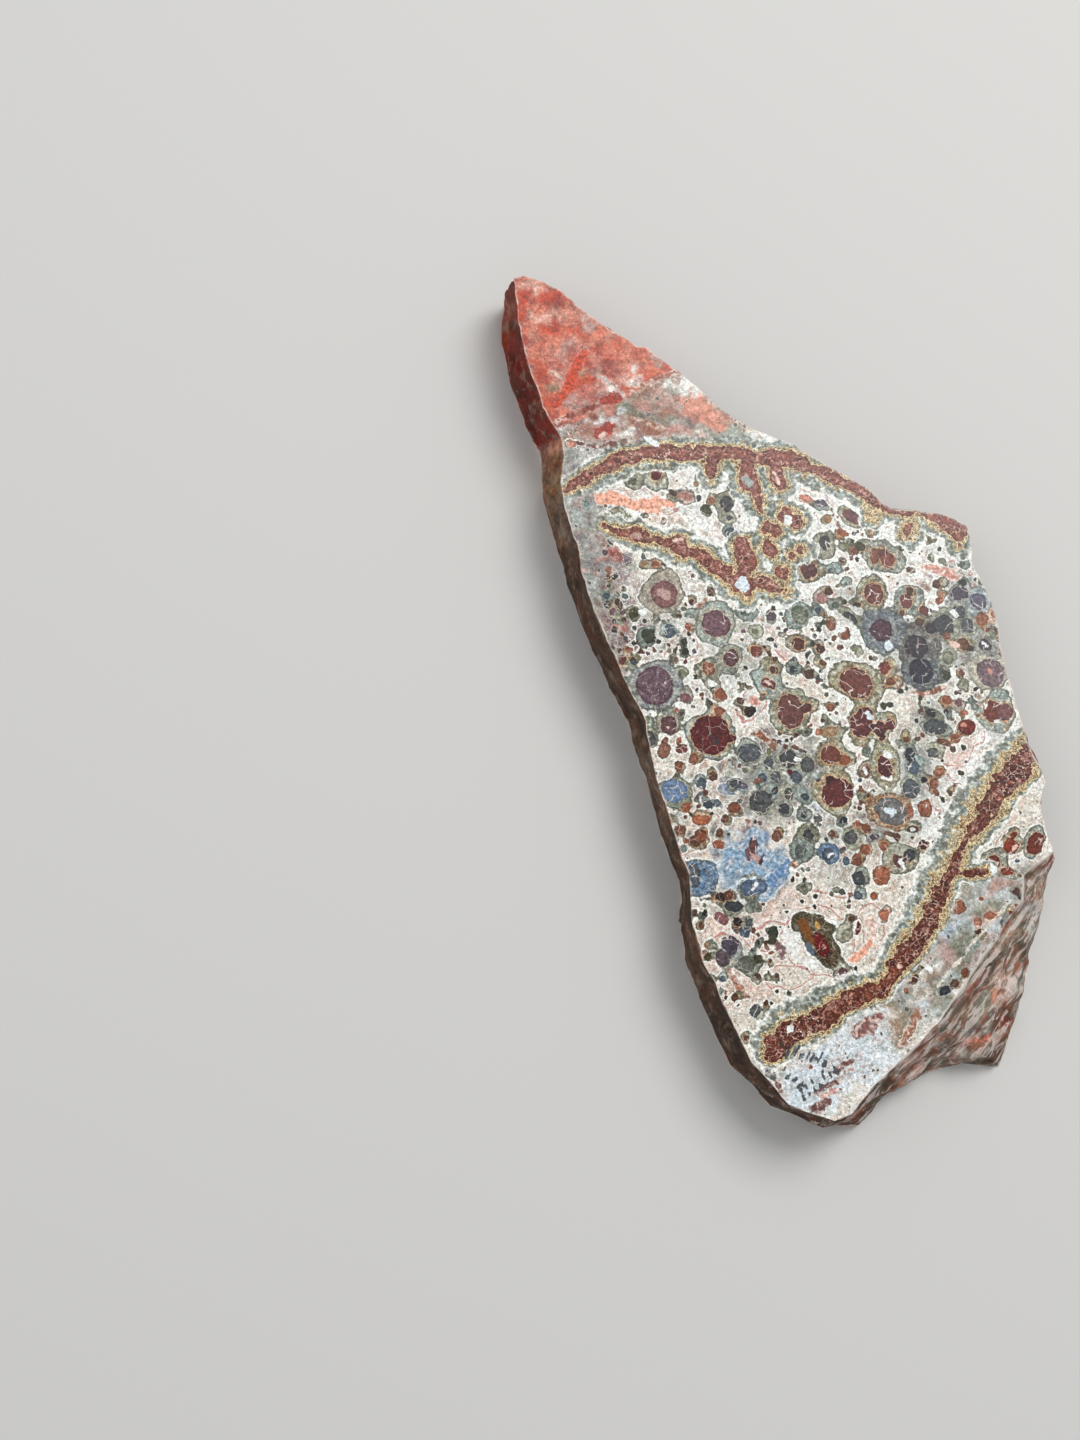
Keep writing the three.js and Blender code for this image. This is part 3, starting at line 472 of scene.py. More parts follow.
# How strong the pale patches in the veins of some tints are, and in all others.
PALE_PATCHES = {
    "salmon": 0.2, "blue": 0.45, "pale blue": 0.45, "dull blue": 0.3, "vermilion": 0.05, "rust": 0.15,
    "red": 0.05,
}
OTHER_PALE_PATCHES = 0.6

# Tints of the bands' cores, in the order of the last number of each band's points.
BAND_TONES = ("band maroon", "orange", "deep band", "burnt orange")

# Marks that lie over everything else: tint, then points (x, y, half width).
FLECKS = [
    ("cool white", [(-6.5, 16.5, 0.7), (-6.5, 15.6, 1.0)]),
    ("pale pink", [(-27.0, 38.0, 0.35), (-26.3, 38.3, 0.4)]),
    ("white", [(-20.2, 37.6, 0.3), (-18.8, 36.7, 0.45)]),
    ("white", [(0.4, 25.7, 0.65), (0.5, 25.5, 0.65)]),
    ("pale grey", [(-5.5, 31.5, 0.55), (-5.0, 30.8, 0.6)]),
    ("pale pink", [(-1.2, 32.6, 0.25), (-0.6, 31.5, 0.3), (-0.4, 30.8, 0.25)]),
    ("white", [(14.0, -9.0, 0.4), (14.6, -9.3, 0.45)]),
    ("white", [(12.9, -12.3, 0.2), (14.0, -12.7, 0.25), (14.4, -12.1, 0.2)]),
    ("cool white", [(11.0, -2.9, 0.3), (11.5, -3.8, 0.35)]),
    ("white", [(-21.6, 12.0, 0.4), (-21.3, 11.8, 0.45)]),
    ("cool white", [(13.2, -17.2, 0.45), (14.3, -17.4, 0.4), (13.9, -18.1, 0.25)]),
    ("cool white", [(15.0, 6.8, 0.5), (14.8, 6.9, 0.5)]),
    ("pink", [(3.4, -36.5, 0.25), (4.0, -36.9, 0.3)]),
    ("gold brown", [(0.4, -33.4, 0.7), (0.9, -34.6, 0.9), (1.6, -36.0, 0.5)]),
    ("gold", [(2.4, -33.4, 0.25), (2.8, -33.9, 0.3)]),
    ("blue slate", [(0.9, -36.5, 0.3), (1.6, -37.6, 0.4)]),
    ("pale pink", [(14.4, -39.4, 0.35), (14.5, -39.4, 0.35)]),
    ("white", [(18.3, -40.1, 0.4), (18.9, -40.5, 0.45)]),
    ("white", [(28.6, -1.0, 0.15), (28.9, -2.1, 0.2), (28.6, -3.0, 0.15)]),
    ("white", [(30.2, -4.5, 0.15), (31.1, -4.6, 0.25)]),
    ("pale pink", [(-3.6, 1.6, 0.25), (-2.9, 0.7, 0.3)]),
    ("white", [(-12.0, 1.6, 0.4), (-11.2, 1.1, 0.4)]),
    ("pale pink", [(-18.6, -4.7, 0.2), (-17.7, -5.0, 0.2)]),
    ("pale pink", [(-16.2, 22.3, 0.25), (-15.4, 22.4, 0.3)]),
    ("grey pink", [(-21.9, 23.1, 0.5), (-21.5, 23.0, 0.45)]),
    ("grey pink", [(-18.6, 14.6, 0.7), (-18.0, 14.4, 0.8)]),
    ("white", [(7.6, 9.5, 0.35), (8.1, 9.0, 0.4)]),
    ("white", [(21.4, 13.0, 0.35), (22.4, 12.6, 0.5)]),
    ("white", [(17.7, 11.0, 0.2), (18.6, 10.9, 0.2)]),
    ("white", [(24.8, 11.9, 0.3), (25.3, 11.2, 0.3)]),
    ("white", [(29.2, 7.3, 0.35), (29.6, 7.1, 0.3)]),
    ("pale pink", [(24.6, 7.2, 0.5), (25.1, 7.0, 0.5)]),
    ("pink", [(29.8, 3.5, 0.25), (30.1, 3.1, 0.3)]),
    ("white", [(3.5, -11.4, 0.3), (3.7, -11.5, 0.3)]),
    ("white", [(-1.3, -11.8, 0.25), (-1.0, -12.0, 0.25)]),
    ("deep maroon", [(-0.4, -11.9, 0.4), (-0.3, -11.9, 0.4)]),
    ("white", [(0.4, -10.0, 0.25), (1.2, -10.1, 0.25)]),
    ("white", [(10.5, -11.2, 0.25), (10.6, -11.9, 0.3)]),
    ("white", [(4.2, -23.1, 0.2), (4.6, -23.7, 0.25), (5.2, -23.2, 0.15)]),
    ("grey pink", [(-6.5, -23.9, 0.35), (-5.9, -24.2, 0.4)]),
    ("plum", [(-7.2, -22.8, 0.25), (-7.1, -24.2, 0.3)]),
    ("dark plum", [(-5.4, -24.9, 0.25), (-5.1, -24.0, 0.2)]),
    ("white", [(-6.6, -28.6, 0.2), (-6.0, -27.6, 0.25)]),
    ("cool white", [(-9.0, -28.0, 0.12), (-8.0, -27.2, 0.15), (-6.6, -26.9, 0.15), (-4.9, -26.7, 0.15),
        (-4.0, -26.0, 0.12)]),
    ("white", [(-7.3, -33.3, 0.2), (-7.2, -33.2, 0.2)]),
    ("pale pink", [(32.1, -22.9, 0.35), (32.4, -22.7, 0.35)]),
    ("white", [(28.8, -25.4, 0.35), (29.3, -26.2, 0.4)]),
    ("white", [(15.0, -24.6, 0.3), (15.6, -25.6, 0.3)]),
    ("white", [(17.0, -20.1, 0.2), (17.4, -20.0, 0.2)]),
    ("pink", [(25.3, -4.9, 0.3), (25.7, -5.2, 0.3)]),
    ("white", [(19.3, -16.5, 0.15), (19.4, -16.4, 0.15)]),
    ("white", [(-2.1, -48.4, 0.35), (-1.7, -48.2, 0.35)]),
    ("olive", [(-3.1, -50.1, 0.25), (-2.5, -50.9, 0.3)]),
    ("dark slate", [(-11.6, -6.4, 0.2), (-11.0, -7.4, 0.2)]),
    ("cream", [(31.4, -30.6, 0.16), (28.0, -34.2, 0.22), (24.0, -38.4, 0.22), (19.4, -43.2, 0.18)]),
]

# Rows of short dark dashes in the whitish foot: start, end, number, half length of each dash.
LADDERS = [
    ((-2.0, -51.4), (3.2, -52.6), 7, 0.9), ((-0.4, -57.5), (4.4, -53.8), 7, 0.8),
    ((-2.8, -54.0), (-0.6, -56.2), 4, 0.5),
]

# Thin pink contour lines in the ground, each round an oval: x, y, radius, stretch, turn.
RINGS = [
    (2.6, -35.8, 5.0, 1.06, -40), (-1.6, -41.3, 2.2, 1.5, 10), (5.4, -26.4, 3.9, 1.15, -10),
    (10.6, -34.2, 2.3, 1.4, 80), (-21.5, 28.0, 2.8, 1.9, -8), (4.6, 28.7, 1.9, 1.5, -10),
    (24.3, 18.3, 2.0, 1.7, -12), (25.5, -8.0, 2.6, 1.4, 40), (-9.5, -37.5, 3.3, 1.2, -30),
    (31.6, -22.8, 2.4, 1.2, 20), (1.5, 6.2, 2.9, 1.2, 0), (9.3, 14.6, 2.2, 1.2, 20),
    (-14.5, -20.5, 3.2, 1.2, 30), (22.5, -14.5, 2.3, 1.3, 70), (-5.5, -1.8, 2.3, 1.2, 80),
    (-15.5, 6.8, 2.2, 1.2, 60), (10.2, -11.7, 1.9, 1.4, 90), (-4.0, -34.8, 2.0, 1.2, 60),
]

# Soft tints of the ground: x, y, half length, half width, turn, tint, strength.
WASHES = [
    (10, 20, 26, 16, -20, "white", 0.8), (24, -12, 12, 6, 50, "white", 0.9),
    (-6, 27, 12, 4, -5, "white", 1.0), (-24, 29, 7, 2.6, -8, "white", 1.0),
    (2, 14, 5, 2, 15, "white", 0.9), (-1, -42, 13, 6, 10, "cream", 0.75),
    (-9, -38, 6, 7, 40, "pale pink", 0.45), (-1.5, -32, 9, 3, 10, "pale pink", 0.4),
    (8, -29, 7, 5, 20, "cream", 0.6), (2.2, -35.6, 5.2, 4.4, 0, "white", 0.9),
    (5.2, -25.9, 3.2, 2.4, -10, "pale grey", 0.45), (25, -7.5, 3.4, 2.0, 30, "pale pink", 0.6),
    (23.5, -10.5, 2.2, 1.2, 30, "pale pink", 0.6), (0, 5.5, 6, 2, 10, "pale pink", 0.4),
    (3, 1, 4, 2, -30, "cream", 0.6), (-30.5, 22, 4, 9, -15, "pale grey", 0.85),
    (-29.5, 14, 3, 8, -12, "pale grey", 0.7), (-28.5, 34.5, 5, 2.5, 20, "pale grey", 0.7),
    (-28, 21.5, 3.5, 1.5, -20, "grey pink", 0.5), (-26, 17.2, 3.2, 2.2, -30, "slate purple", 0.55),
    (-25.8, 12, 2.5, 4, 10, "mauve", 0.5), (-25, 7.8, 2.8, 3, 0, "mauve", 0.6),
    (-25.1, 19.6, 1.8, 1.2, -30, "red", 0.85), (-24.8, 10.2, 1.3, 1.6, 20, "tip red", 0.7),
    (-24.4, 6.9, 0.9, 0.9, 0, "brown red", 0.8), (-26.2, 12.4, 0.8, 0.7, 0, "brown red", 0.7),
    (-22.7, 18, 1.2, 1.0, 0, "brown", 0.5), (-8, -24.6, 3.4, 2.6, 10, "pale blue", 1.0),
    (-5.5, -27.6, 4.6, 2.8, 15, "pale blue", 0.9), (-2.8, -26, 1.8, 2.2, -20, "blue", 1.0),
    (-6.2, -23.6, 2.2, 2.4, 0, "slate purple", 0.6), (-6.4, -20.6, 1.8, 1.4, 0, "slate purple", 0.7),
    (-14.8, -26.6, 2.4, 2.4, 0, "slate", 0.8), (-12.9, -26.4, 1.4, 2.2, -10, "blue", 0.9),
    (-9.9, -14.0, 1.6, 1.2, 0, "dull blue", 0.8), (-17.4, -14.3, 2.4, 2.2, 0, "dull blue", 0.7),
    (2.8, -16.8, 1.0, 0.9, 0, "pale blue", 0.5), (-0.9, -17.0, 2.2, 1.7, 0, "mauve", 0.7),
    (0.6, -11.6, 4.2, 3.2, -20, "slate", 0.55), (-2.8, -13.6, 3.4, 2.2, 0, "dark halo", 0.5),
    (27, 12.2, 4.5, 4.0, -10, "slate", 0.55), (28.5, 5.5, 3.2, 3.4, 0, "slate", 0.5),
    (23.6, 9.5, 2.6, 2.4, 0, "slate", 0.6), (21, -4.5, 3.4, 2.2, -10, "dark halo", 0.5),
    (17.6, -11.6, 2.4, 4.0, 0, "slate", 0.5), (-7.2, 11.4, 2.6, 2.0, 0, "grey halo", 0.6),
    (-7, 4.6, 3.0, 2.6, 0, "grey halo", 0.5), (9.6, 13.4, 3.2, 2.4, -20, "grey halo", 0.5),
    (24, -36, 5.5, 5.5, 50, "pale grey", 0.6), (22.0, -34.8, 2.2, 3.4, -30, "cool white", 0.9),
    (22.6, -40, 5, 1.6, 48, "dark halo", 0.8), (22.2, -36.0, 1.0, 2.4, -10, "pale blue", 0.5),
    (25.8, -29.0, 2.6, 1.3, 0, "olive halo", 0.8), (28.8, -29.6, 2.6, 0.9, 40, "white", 0.8),
    (26.6, -33.0, 1.8, 1.1, 0, "tan", 0.7), (28.0, -33.4, 1.6, 0.8, 40, "terracotta", 0.6),
    (26.2, -36.4, 1.4, 1.2, 0, "pale olive", 0.8), (18.6, -43.4, 3.0, 1.0, 45, "cool white", 0.7),
    (30.0, -34.2, 1.6, 0.9, 50, "terracotta", 0.8), (26.6, -37.6, 2.6, 0.8, 48, "grey pink", 0.7),
    (3, -54.5, 9, 4.0, 45, "cool white", 1.0), (9.5, -51, 5, 4.5, 45, "cool white", 0.9),
    (15.6, -48.6, 3.2, 1.2, 50, "grey pink", 0.8), (14.6, -49.8, 2.6, 0.9, 50, "pale olive", 0.6),
    (17, -44.8, 3, 1.2, 30, "cream", 0.8), (34.6, -16.5, 1.4, 4, 0, "cream", 0.6),
    (-5.5, -54.5, 1.5, 3, 30, "pale grey", 0.6), (31, -6.0, 1.8, 1.0, -40, "pale blue", 0.35),
]

# The red tip: everything beyond this line is red, and the rows after it are its patches.
TIP_LINE = [
    (-36.0, 39.6), (-33.0, 39.9), (-29.0, 40.7), (-26.3, 41.9), (-22.4, 44.4), (-20.3, 45.5),
    (-15.0, 47.9), (-12.0, 49.4),
]
TIP_WASHES = [
    (-29.5, 43.0, 3.8, 1.9, 10, "grey pink", 0.95), (-24.3, 43.0, 1.9, 1.3, 10, "tip red", 0.95),
    (-22.5, 50.5, 5.0, 3.0, -35, "tip pink", 1.0), (-38.2, 57.5, 0.9, 3.2, 0, "vermilion", 0.75),
    (-34.8, 57.8, 1.8, 1.2, -20, "vermilion", 0.7), (-32.6, 57.4, 0.9, 0.8, 0, "rust", 0.7),
    (-29.9, 56.9, 1.1, 0.9, -40, "rust", 0.8), (-34.4, 54.2, 1.3, 1.7, 20, "vermilion", 0.75),
    (-31.4, 54.0, 1.3, 0.9, 0, "vermilion", 0.4), (-29.2, 50.0, 1.0, 1.3, -20, "vermilion", 0.95),
    (-30.3, 48.2, 0.9, 1.4, -30, "vermilion", 0.95), (-31.6, 45.7, 1.0, 1.6, -35, "vermilion", 0.95),
    (-33.6, 42.8, 1.5, 1.0, 20, "vermilion", 0.85), (-35.6, 46.6, 1.4, 2.2, 10, "vermilion", 0.5),
    (-36.6, 50.6, 1.5, 1.5, 0, "vermilion", 0.5), (-32.8, 55.3, 1.2, 1.5, 0, "slate purple", 0.35),
    (-29.0, 54.6, 1.2, 1.6, -10, "pale grey", 0.55), (-30.9, 51.5, 1.7, 1.0, -10, "grey pink", 0.75),
    (-36.7, 52.4, 1.1, 0.8, 0, "slate purple", 0.4), (-36.9, 47.6, 1.0, 1.2, 0, "slate purple", 0.35),
    (-34.5, 44.0, 0.9, 0.8, 0, "pale olive", 0.7), (-29.3, 47.4, 0.8, 1.2, -20, "pale olive", 0.6),
    (-25.9, 45.1, 1.9, 0.7, -30, "white", 0.95), (-22.2, 46.6, 1.5, 0.9, 20, "white", 0.75),
    (-22.9, 48.2, 0.6, 0.4, 0, "white", 0.9), (-33.2, 46.9, 1.2, 0.9, 0, "pale pink", 0.85),
    (-36.5, 59.8, 2.2, 1.0, -25, "pale pink", 0.55), (-27.2, 50.8, 0.7, 1.4, 0, "red", 0.45),
    (-19.4, 50.3, 1.6, 0.9, -40, "pale grey", 0.6), (-27.6, 46.8, 1.1, 0.9, 0, "pale grey", 0.7),
    (-35.2, 51.6, 2.4, 1.6, 0, "tip pink", 0.7), (-26.2, 47.6, 1.3, 1.2, 0, "slate purple", 0.35),
    (-35.5, 55.6, 1.4, 0.8, 0, "pale pink", 0.6),
]
# Between the tip and the first band.
NECK_WASHES = [
    (-28, 38, 6, 2.6, 15, "grey pink", 0.5), (-28, 38, 5, 2.0, 15, "terracotta", 0.4),
    (-18, 42, 5.5, 3.4, -25, "dark halo", 0.5), (-16.5, 43.6, 3.0, 1.4, -20, "pink", 0.45),
    (-31.5, 37.2, 2.0, 2.6, 0, "pale grey", 0.7), (-9, 39.4, 5.5, 1.6, -22, "grey halo", 0.9),
    (-11.5, 42.0, 3.6, 2.0, -38, "tip pink", 0.85), (-2.4, 37.4, 2.6, 1.2, -25, "white", 0.9),
    (-6.0, 37.0, 1.3, 0.8, -10, "vermilion", 0.6), (-20.6, 42.8, 1.2, 1.0, 0, "pink", 0.6),
    (-17.0, 42.7, 1.0, 1.0, 0, "terracotta", 0.6), (-15.3, 39.6, 1.5, 1.0, -10, "pink", 0.6),
    (-20.0, 38.7, 1.8, 1.3, -20, "mauve", 0.7), (-18.0, 38.8, 0.6, 1.4, 20, "orange", 0.7),
    (-22.9, 38.4, 1.2, 0.7, 0, "white", 0.9), (-19.0, 37.0, 1.2, 0.6, 0, "white", 0.9),
    (-14.0, 40.8, 0.5, 0.5, 0, "brown", 0.6), (-26.2, 38.6, 1.8, 1.5, 20, "red", 0.85),
    (-26.8, 38.1, 0.9, 0.7, 0, "pale pink", 0.95), (-31.0, 36.6, 0.7, 0.6, 0, "pink", 0.8),
    (-29.8, 41.0, 3.6, 0.55, 16, "rust", 0.85), (-33.2, 40.0, 1.2, 0.7, 0, "red", 0.8),
    (-18.6, 46.1, 4.2, 0.5, 25, "orange", 0.6), (-23.0, 41.8, 1.0, 0.8, 40, "pale olive", 0.7),
    (-19.6, 39.4, 2.2, 1.2, -30, "terracotta", 0.95), (-29.5, 38.4, 2.0, 0.9, 10, "terracotta", 0.7),
    (-13.6, 41.0, 1.6, 0.8, 20, "mauve", 0.5), (-15.4, 45.2, 1.8, 0.7, -35, "dark halo", 0.5),
    (-21.4, 41.4, 2.0, 0.5, -50, "dark halo", 0.7), (-25.0, 40.9, 3.2, 0.45, 12, "cool white", 0.6),
    (-31.6, 34.2, 1.8, 0.8, 30, "dark halo", 0.5),
]

# Zones of natural mottling, made of seeded soft patches: middle x and y, half length, half
# width, turn, number of patches, smallest and largest radius, and their tints.
TIP_MOTTLING = [
    (-29, 51, 17, 12, -40, 300, 0.5, 2.4,
     ("tip red", "tip pink", "vermilion", "pale pink", "grey pink", "red", "tip pink")),
]
MOTTLING = [
    (-20, 41, 15, 4, 0, 260, 0.3, 1.4,
     ("grey pink", "grey halo", "pink", "terracotta", "mauve", "tan", "terracotta")),
    (-28, 18, 5, 16, 14, 200, 0.3, 1.0,
     ("pale grey", "grey pink", "mauve", "grey halo", "pink", "slate purple")),
    (-24, 8, 5, 9, 0, 110, 0.3, 0.9, ("mauve", "brown red", "grey pink", "grey halo", "slate purple")),
    (24, -37, 15, 5, 48, 170, 0.4, 1.9,
     ("pale grey", "cool white", "pale olive", "grey halo", "dark halo", "grey pink", "tan")),
    (-2, -12, 8, 7, 0, 120, 0.3, 1.1, ("slate", "dark halo", "mauve", "grey halo", "brown")),
    (26, 8, 7, 11, 0, 130, 0.3, 1.1, ("slate", "dark halo", "grey halo", "terracotta", "slate purple")),
    (-13, -17, 6, 7, 0, 90, 0.3, 0.9, ("terracotta", "tan", "slate", "grey halo", "pale pink")),
    (9, -21, 8, 4, 0, 80, 0.3, 0.9, ("terracotta", "dark halo", "slate", "brown")),
    (-7, -25, 5, 5, 0, 90, 0.3, 0.9, ("blue", "pale blue", "pale blue", "slate purple", "cool white")),
    (4, -53, 12, 5, 45, 110, 0.2, 0.8,
     ("cool white", "pale grey", "white", "cool white", "cool white", "white")),
    (-6, 6, 12, 9, 0, 150, 0.25, 0.8, ("grey halo", "cream", "tan", "dark halo", "pale pink")),
]
# Stretches of open whitish ground, where no small orbs are added: x, y, half length, half width, turn.
OPEN_GROUND = [
    (-21, 28.6, 8, 2.3, -8), (-7, 29.5, 4, 1.6, 0), (5, 29.5, 5, 2.2, -20), (3, 14.8, 4, 2.2, 20),
    (22.5, 22.6, 3.4, 3.4, 0), (25, -8.6, 6, 3, 50), (29, 20, 2, 3, 0), (2.2, -35.6, 5.0, 4.4, 0),
    (-2, -41.5, 9, 3.2, 10), (9.8, -34, 3.6, 4.4, -30), (5.2, -26, 3.2, 2.4, 0), (-10, -35, 3, 4, 30),
    (2.6, 0.4, 3, 1.3, -35), (15.5, -27, 3, 3.5, -30), (3, -7.4, 3, 1.2, -20), (-6.2, -25.2, 5.6, 5.2, 0),
    (-14.6, -26.3, 2.8, 2.8, 0), (-17.4, -14.3, 3.0, 2.8, 0), (-9.8, -14.2, 1.8, 1.4, 0),
    (16, -3, 2, 3, 0), (11.5, 18, 2.5, 1.5, 0), (-1.5, -32, 4, 2.2, 0), (34, -17, 2.5, 5, 0),
    (4, -54, 14, 6, 45), (27, -31.5, 7, 3.2, 42), (23.5, -36.5, 7, 4, 48), (20, -42, 5, 3, 45),
]

# Murky stretches, where outlines fade and halos run into the ground: x, y, half length,
# half width, turn, strength, and how grey the ground is there.
MURK = [
    (-1, -12, 7, 5, -15, 1.0, 0.8), (-4.5, -16.5, 4.5, 3.5, 0, 0.9, 0.6), (27.5, 9, 5, 8, 0, 0.9, 0.6),
    (18.5, -11, 3.5, 6.5, 0, 0.8, 0.5), (20.5, -4, 3.5, 2.5, 0, 0.7, 0.5), (-17.5, 10.5, 4, 5, 20, 0.7, 0.4),
    (-8, 7, 5, 4, 0, 0.5, 0.4), (24, -37, 14, 5.5, 48, 1.0, 0.1), (14.5, -18.5, 5, 4, 0, 0.8, 0.5),
    (7.5, -22, 5, 3, 0, 0.6, 0.4), (9.5, 13, 4, 3, 0, 0.5, 0.4), (-28.5, 16, 4, 22, 12, 0.9, 0.2),
    (-15, -18, 4, 5, 0, 0.5, 0.3), (5, -53.5, 13, 5, 45, 0.9, 0.0), (-18, 41, 17, 4.6, -8, 1.0, 0.0),
    (17.5, 5.5, 4, 6, 0, 0.7, 0.7), (-9.5, -31, 4, 2, -40, 0.7, 0.6), (30.5, -3, 3, 6, 0, 0.5, 0.4),
    (-10, -37.5, 3.5, 2.5, -20, 0.6, 0.5), (-7, -24.5, 6, 5, 0, 1.0, 0.0),
    (-30, 50, 18, 10, -45, 1.0, 0.0),
]

# Tints of the broken sides, laid one after the other as on the face. The dark brown at the lower left is
# partly painted shade.
SIDE_WASHES = [
    (-30, 50, 18, 14, -40, "side red", 1.0), (-40.5, 57, 1.5, 4, 0, "rust", 0.5),
    (-39.5, 47, 1.5, 2.5, 10, "dark brown", 0.5), (-34, 32, 3, 5, 0, "tan", 0.75),
    (-34.5, 36.6, 1.4, 1.8, 0, "pink", 0.5), (-33.5, 25, 2, 4, 0, "side grey", 0.5),
    (-9, -51, 9, 7, -50, "dark brown", 0.6), (-20, -14, 3, 7, 10, "side grey", 0.35),
    (28, 22, 4, 5, 0, "side grey", 0.6), (10, 34, 14, 4, -30, "brown red", 0.5),
    (35, -12, 3, 5, 0, "brown red", 0.8), (29, -39, 9, 17, -30, "pale grey", 0.5),
    (30, -39, 7, 15, -30, "side grey", 0.4), (37.5, -24.5, 2.6, 2.4, 0, "crystal red", 0.7),
    (36.5, -28, 2.4, 2.2, 0, "side grey", 0.8), (35.8, -33, 2.2, 3.5, -20, "pale grey", 0.7),
    (31.6, -32.4, 1.0, 3.2, -25, "rust", 0.75), (29.2, -36.2, 1.2, 2.4, -35, "pale pink", 0.7),
    (28.4, -39.3, 1.6, 0.9, 45, "dark slate", 0.8), (32.5, -38.5, 2.2, 3.4, -20, "tan", 0.45),
    (26.6, -42.0, 2.6, 1.5, 45, "rust", 0.6), (31.5, -43.5, 1.6, 2.4, -20, "pale pink", 0.6),
    (27.0, -46.0, 2.6, 1.6, 30, "pale olive", 0.6), (31.6, -47.6, 1.0, 2.2, -10, "rust", 0.9),
    (24.4, -45.6, 1.2, 0.8, 0, "dark brown", 0.6), (27.4, -50.4, 3.0, 1.0, 0, "vermilion", 0.45),
    (22.4, -50.4, 2.4, 1.2, 20, "terracotta", 0.6), (16, -54, 3, 2, 30, "pale pink", 0.6),
]

# Where painted glints, small white highlights on specks, are laid: x, y, radius.
PAINTED_GLINT_SPOTS = [
    (-26, 16.5, 3.0), (-25.5, 11, 2.6), (-24.8, 7.5, 2.6), (-19, 1.0, 2.4), (-6.2, -24, 1.6),
    (-10.3, -22.5, 0.8), (-10.0, -27.5, 1.0), (3.6, -36.8, 1.2), (30.5, -13, 2.5), (0.8, -48, 3.0),
    (-16, 34.5, 3.5), (12, 30, 2.5), (33.5, -10.5, 3.0),
]


def lattice_value(i, j, k, seed):
    """A repeatable random number from 0 to 1 for each lattice point."""
    h = (i * 374761393 + j * 668265263 + k * 2147483647 + seed * 144665) & 0x7FFFFFFF
    h = ((h ^ (h >> 13)) * 1274126177) & 0x7FFFFFFF
    return ((h ^ (h >> 16)) & 0xFFFFF) / 0xFFFFF


def noise(points, size, seed=0):
    """Smooth noise from -1 to 1 at points in millimetres, with features of about that size."""
    q = np.asarray(points, float) / size
    if q.shape[1] == 2:
        q = np.column_stack([q, np.full(len(q), 0.37)])
    cell = np.floor(q).astype(np.int64)
    f = q - cell
    f = f * f * (3 - 2 * f)
    total = np.zeros(len(q))
    for a in (0, 1):
        for b in (0, 1):
            for c in (0, 1):
                weight = np.abs(1 - a - f[:, 0]) * np.abs(1 - b - f[:, 1]) * np.abs(1 - c - f[:, 2])
                total += weight * lattice_value(cell[:, 0] + a, cell[:, 1] + b, cell[:, 2] + c, seed)
    return total * 2 - 1


def warped(xy, far, near, seed):
    """The same places pushed about by noise, so that ovals become natural, uneven shapes."""
    pushes = [far * noise(xy, 4.5, seed + n) + near * noise(xy, 1.7, seed + n + 1)
              + 0.5 * near * noise(xy, 0.9, seed + n + 2) for n in (0, 3)]
    return xy + np.column_stack(pushes)


def oval_distance(xy, x, y, radius, stretch=1.0, turn=0.0):
    """Distance in millimetres from the edge of an oval, negative inside it."""
    c, s = np.cos(np.radians(turn)), np.sin(np.radians(turn))
    dx, dy = xy[:, 0] - x, xy[:, 1] - y
    along, across = (dx * c + dy * s) / stretch, (dy * c - dx * s) * stretch
    reach = np.hypot(along, across)
    true = np.hypot(dx, dy)
    return (reach - radius) * np.where(reach > 1e-6, true / np.maximum(reach, 1e-6), 1.0)


def stroke_distance(xy, points):
    """Distance from the edge of a line of points whose half width changes along it."""
    best = np.full(len(xy), FAR)
    for (x0, y0, w0), (x1, y1, w1) in zip(points, points[1:]):
        along, away, _ = run_along(xy, (x0, y0), (x1, y1))
        best = np.minimum(best, away - (w0 + (w1 - w0) * along))
    return best


def run_along(xy, start, end):
    """Part of the way along a segment, distance from it, and which side: 1 on the left."""
    d = np.subtract(end, start)
    rel = xy - np.asarray(start)
    along = np.clip(rel @ d / max(d @ d, 1e-9), 0, 1)
    off = rel - along[:, None] * d
    side = np.where(d[0] * rel[:, 1] - d[1] * rel[:, 0] > 0, 1, -1)
    return along, np.hypot(off[:, 0], off[:, 1]), side


class Layer:
    """The nearest of many shapes at each place: its distance, its tint, and the runner-up's lead."""

    def __init__(self, count):
        self.near = np.full(count, FAR)
        self.next = np.full(count, FAR)
        self.tint = np.full((count, 4), 0.5)

    def add(self, distance, tint, extra=0.0, shade=None):
        """Gives one more shape the places that it is nearest to."""
        closer = distance < self.near
        self.next = np.where(closer, self.near, np.minimum(self.next, distance))
        self.near = np.where(closer, distance, self.near)
        self.tint[closer] = (*tint, extra)
        if shade is not None:
            self.tint[closer, :3] *= shade[closer]


def nearest_of_kind(xy, rows, radius_at, variety):
    """Distance to the nearest orb of one kind, and how that very orb's tint differs."""
    nearest, shade = np.full(len(xy), FAR), np.ones((len(xy), 3))
    for row in rows:
        if row[radius_at]:
            distance = oval_distance(xy, *row[:2], row[radius_at], *row[4:])
            closer = distance < nearest
            nearest[closer] = distance[closer]
            light = 1 + variety * np.sin(7.3 * row[0] + 11.1 * row[1])
            warm = 0.12 * np.sin(5.1 * row[0] - 8.7 * row[1])
            shade[closer] = (light * (1 + warm), light, light * (1 - warm))
    return nearest, shade


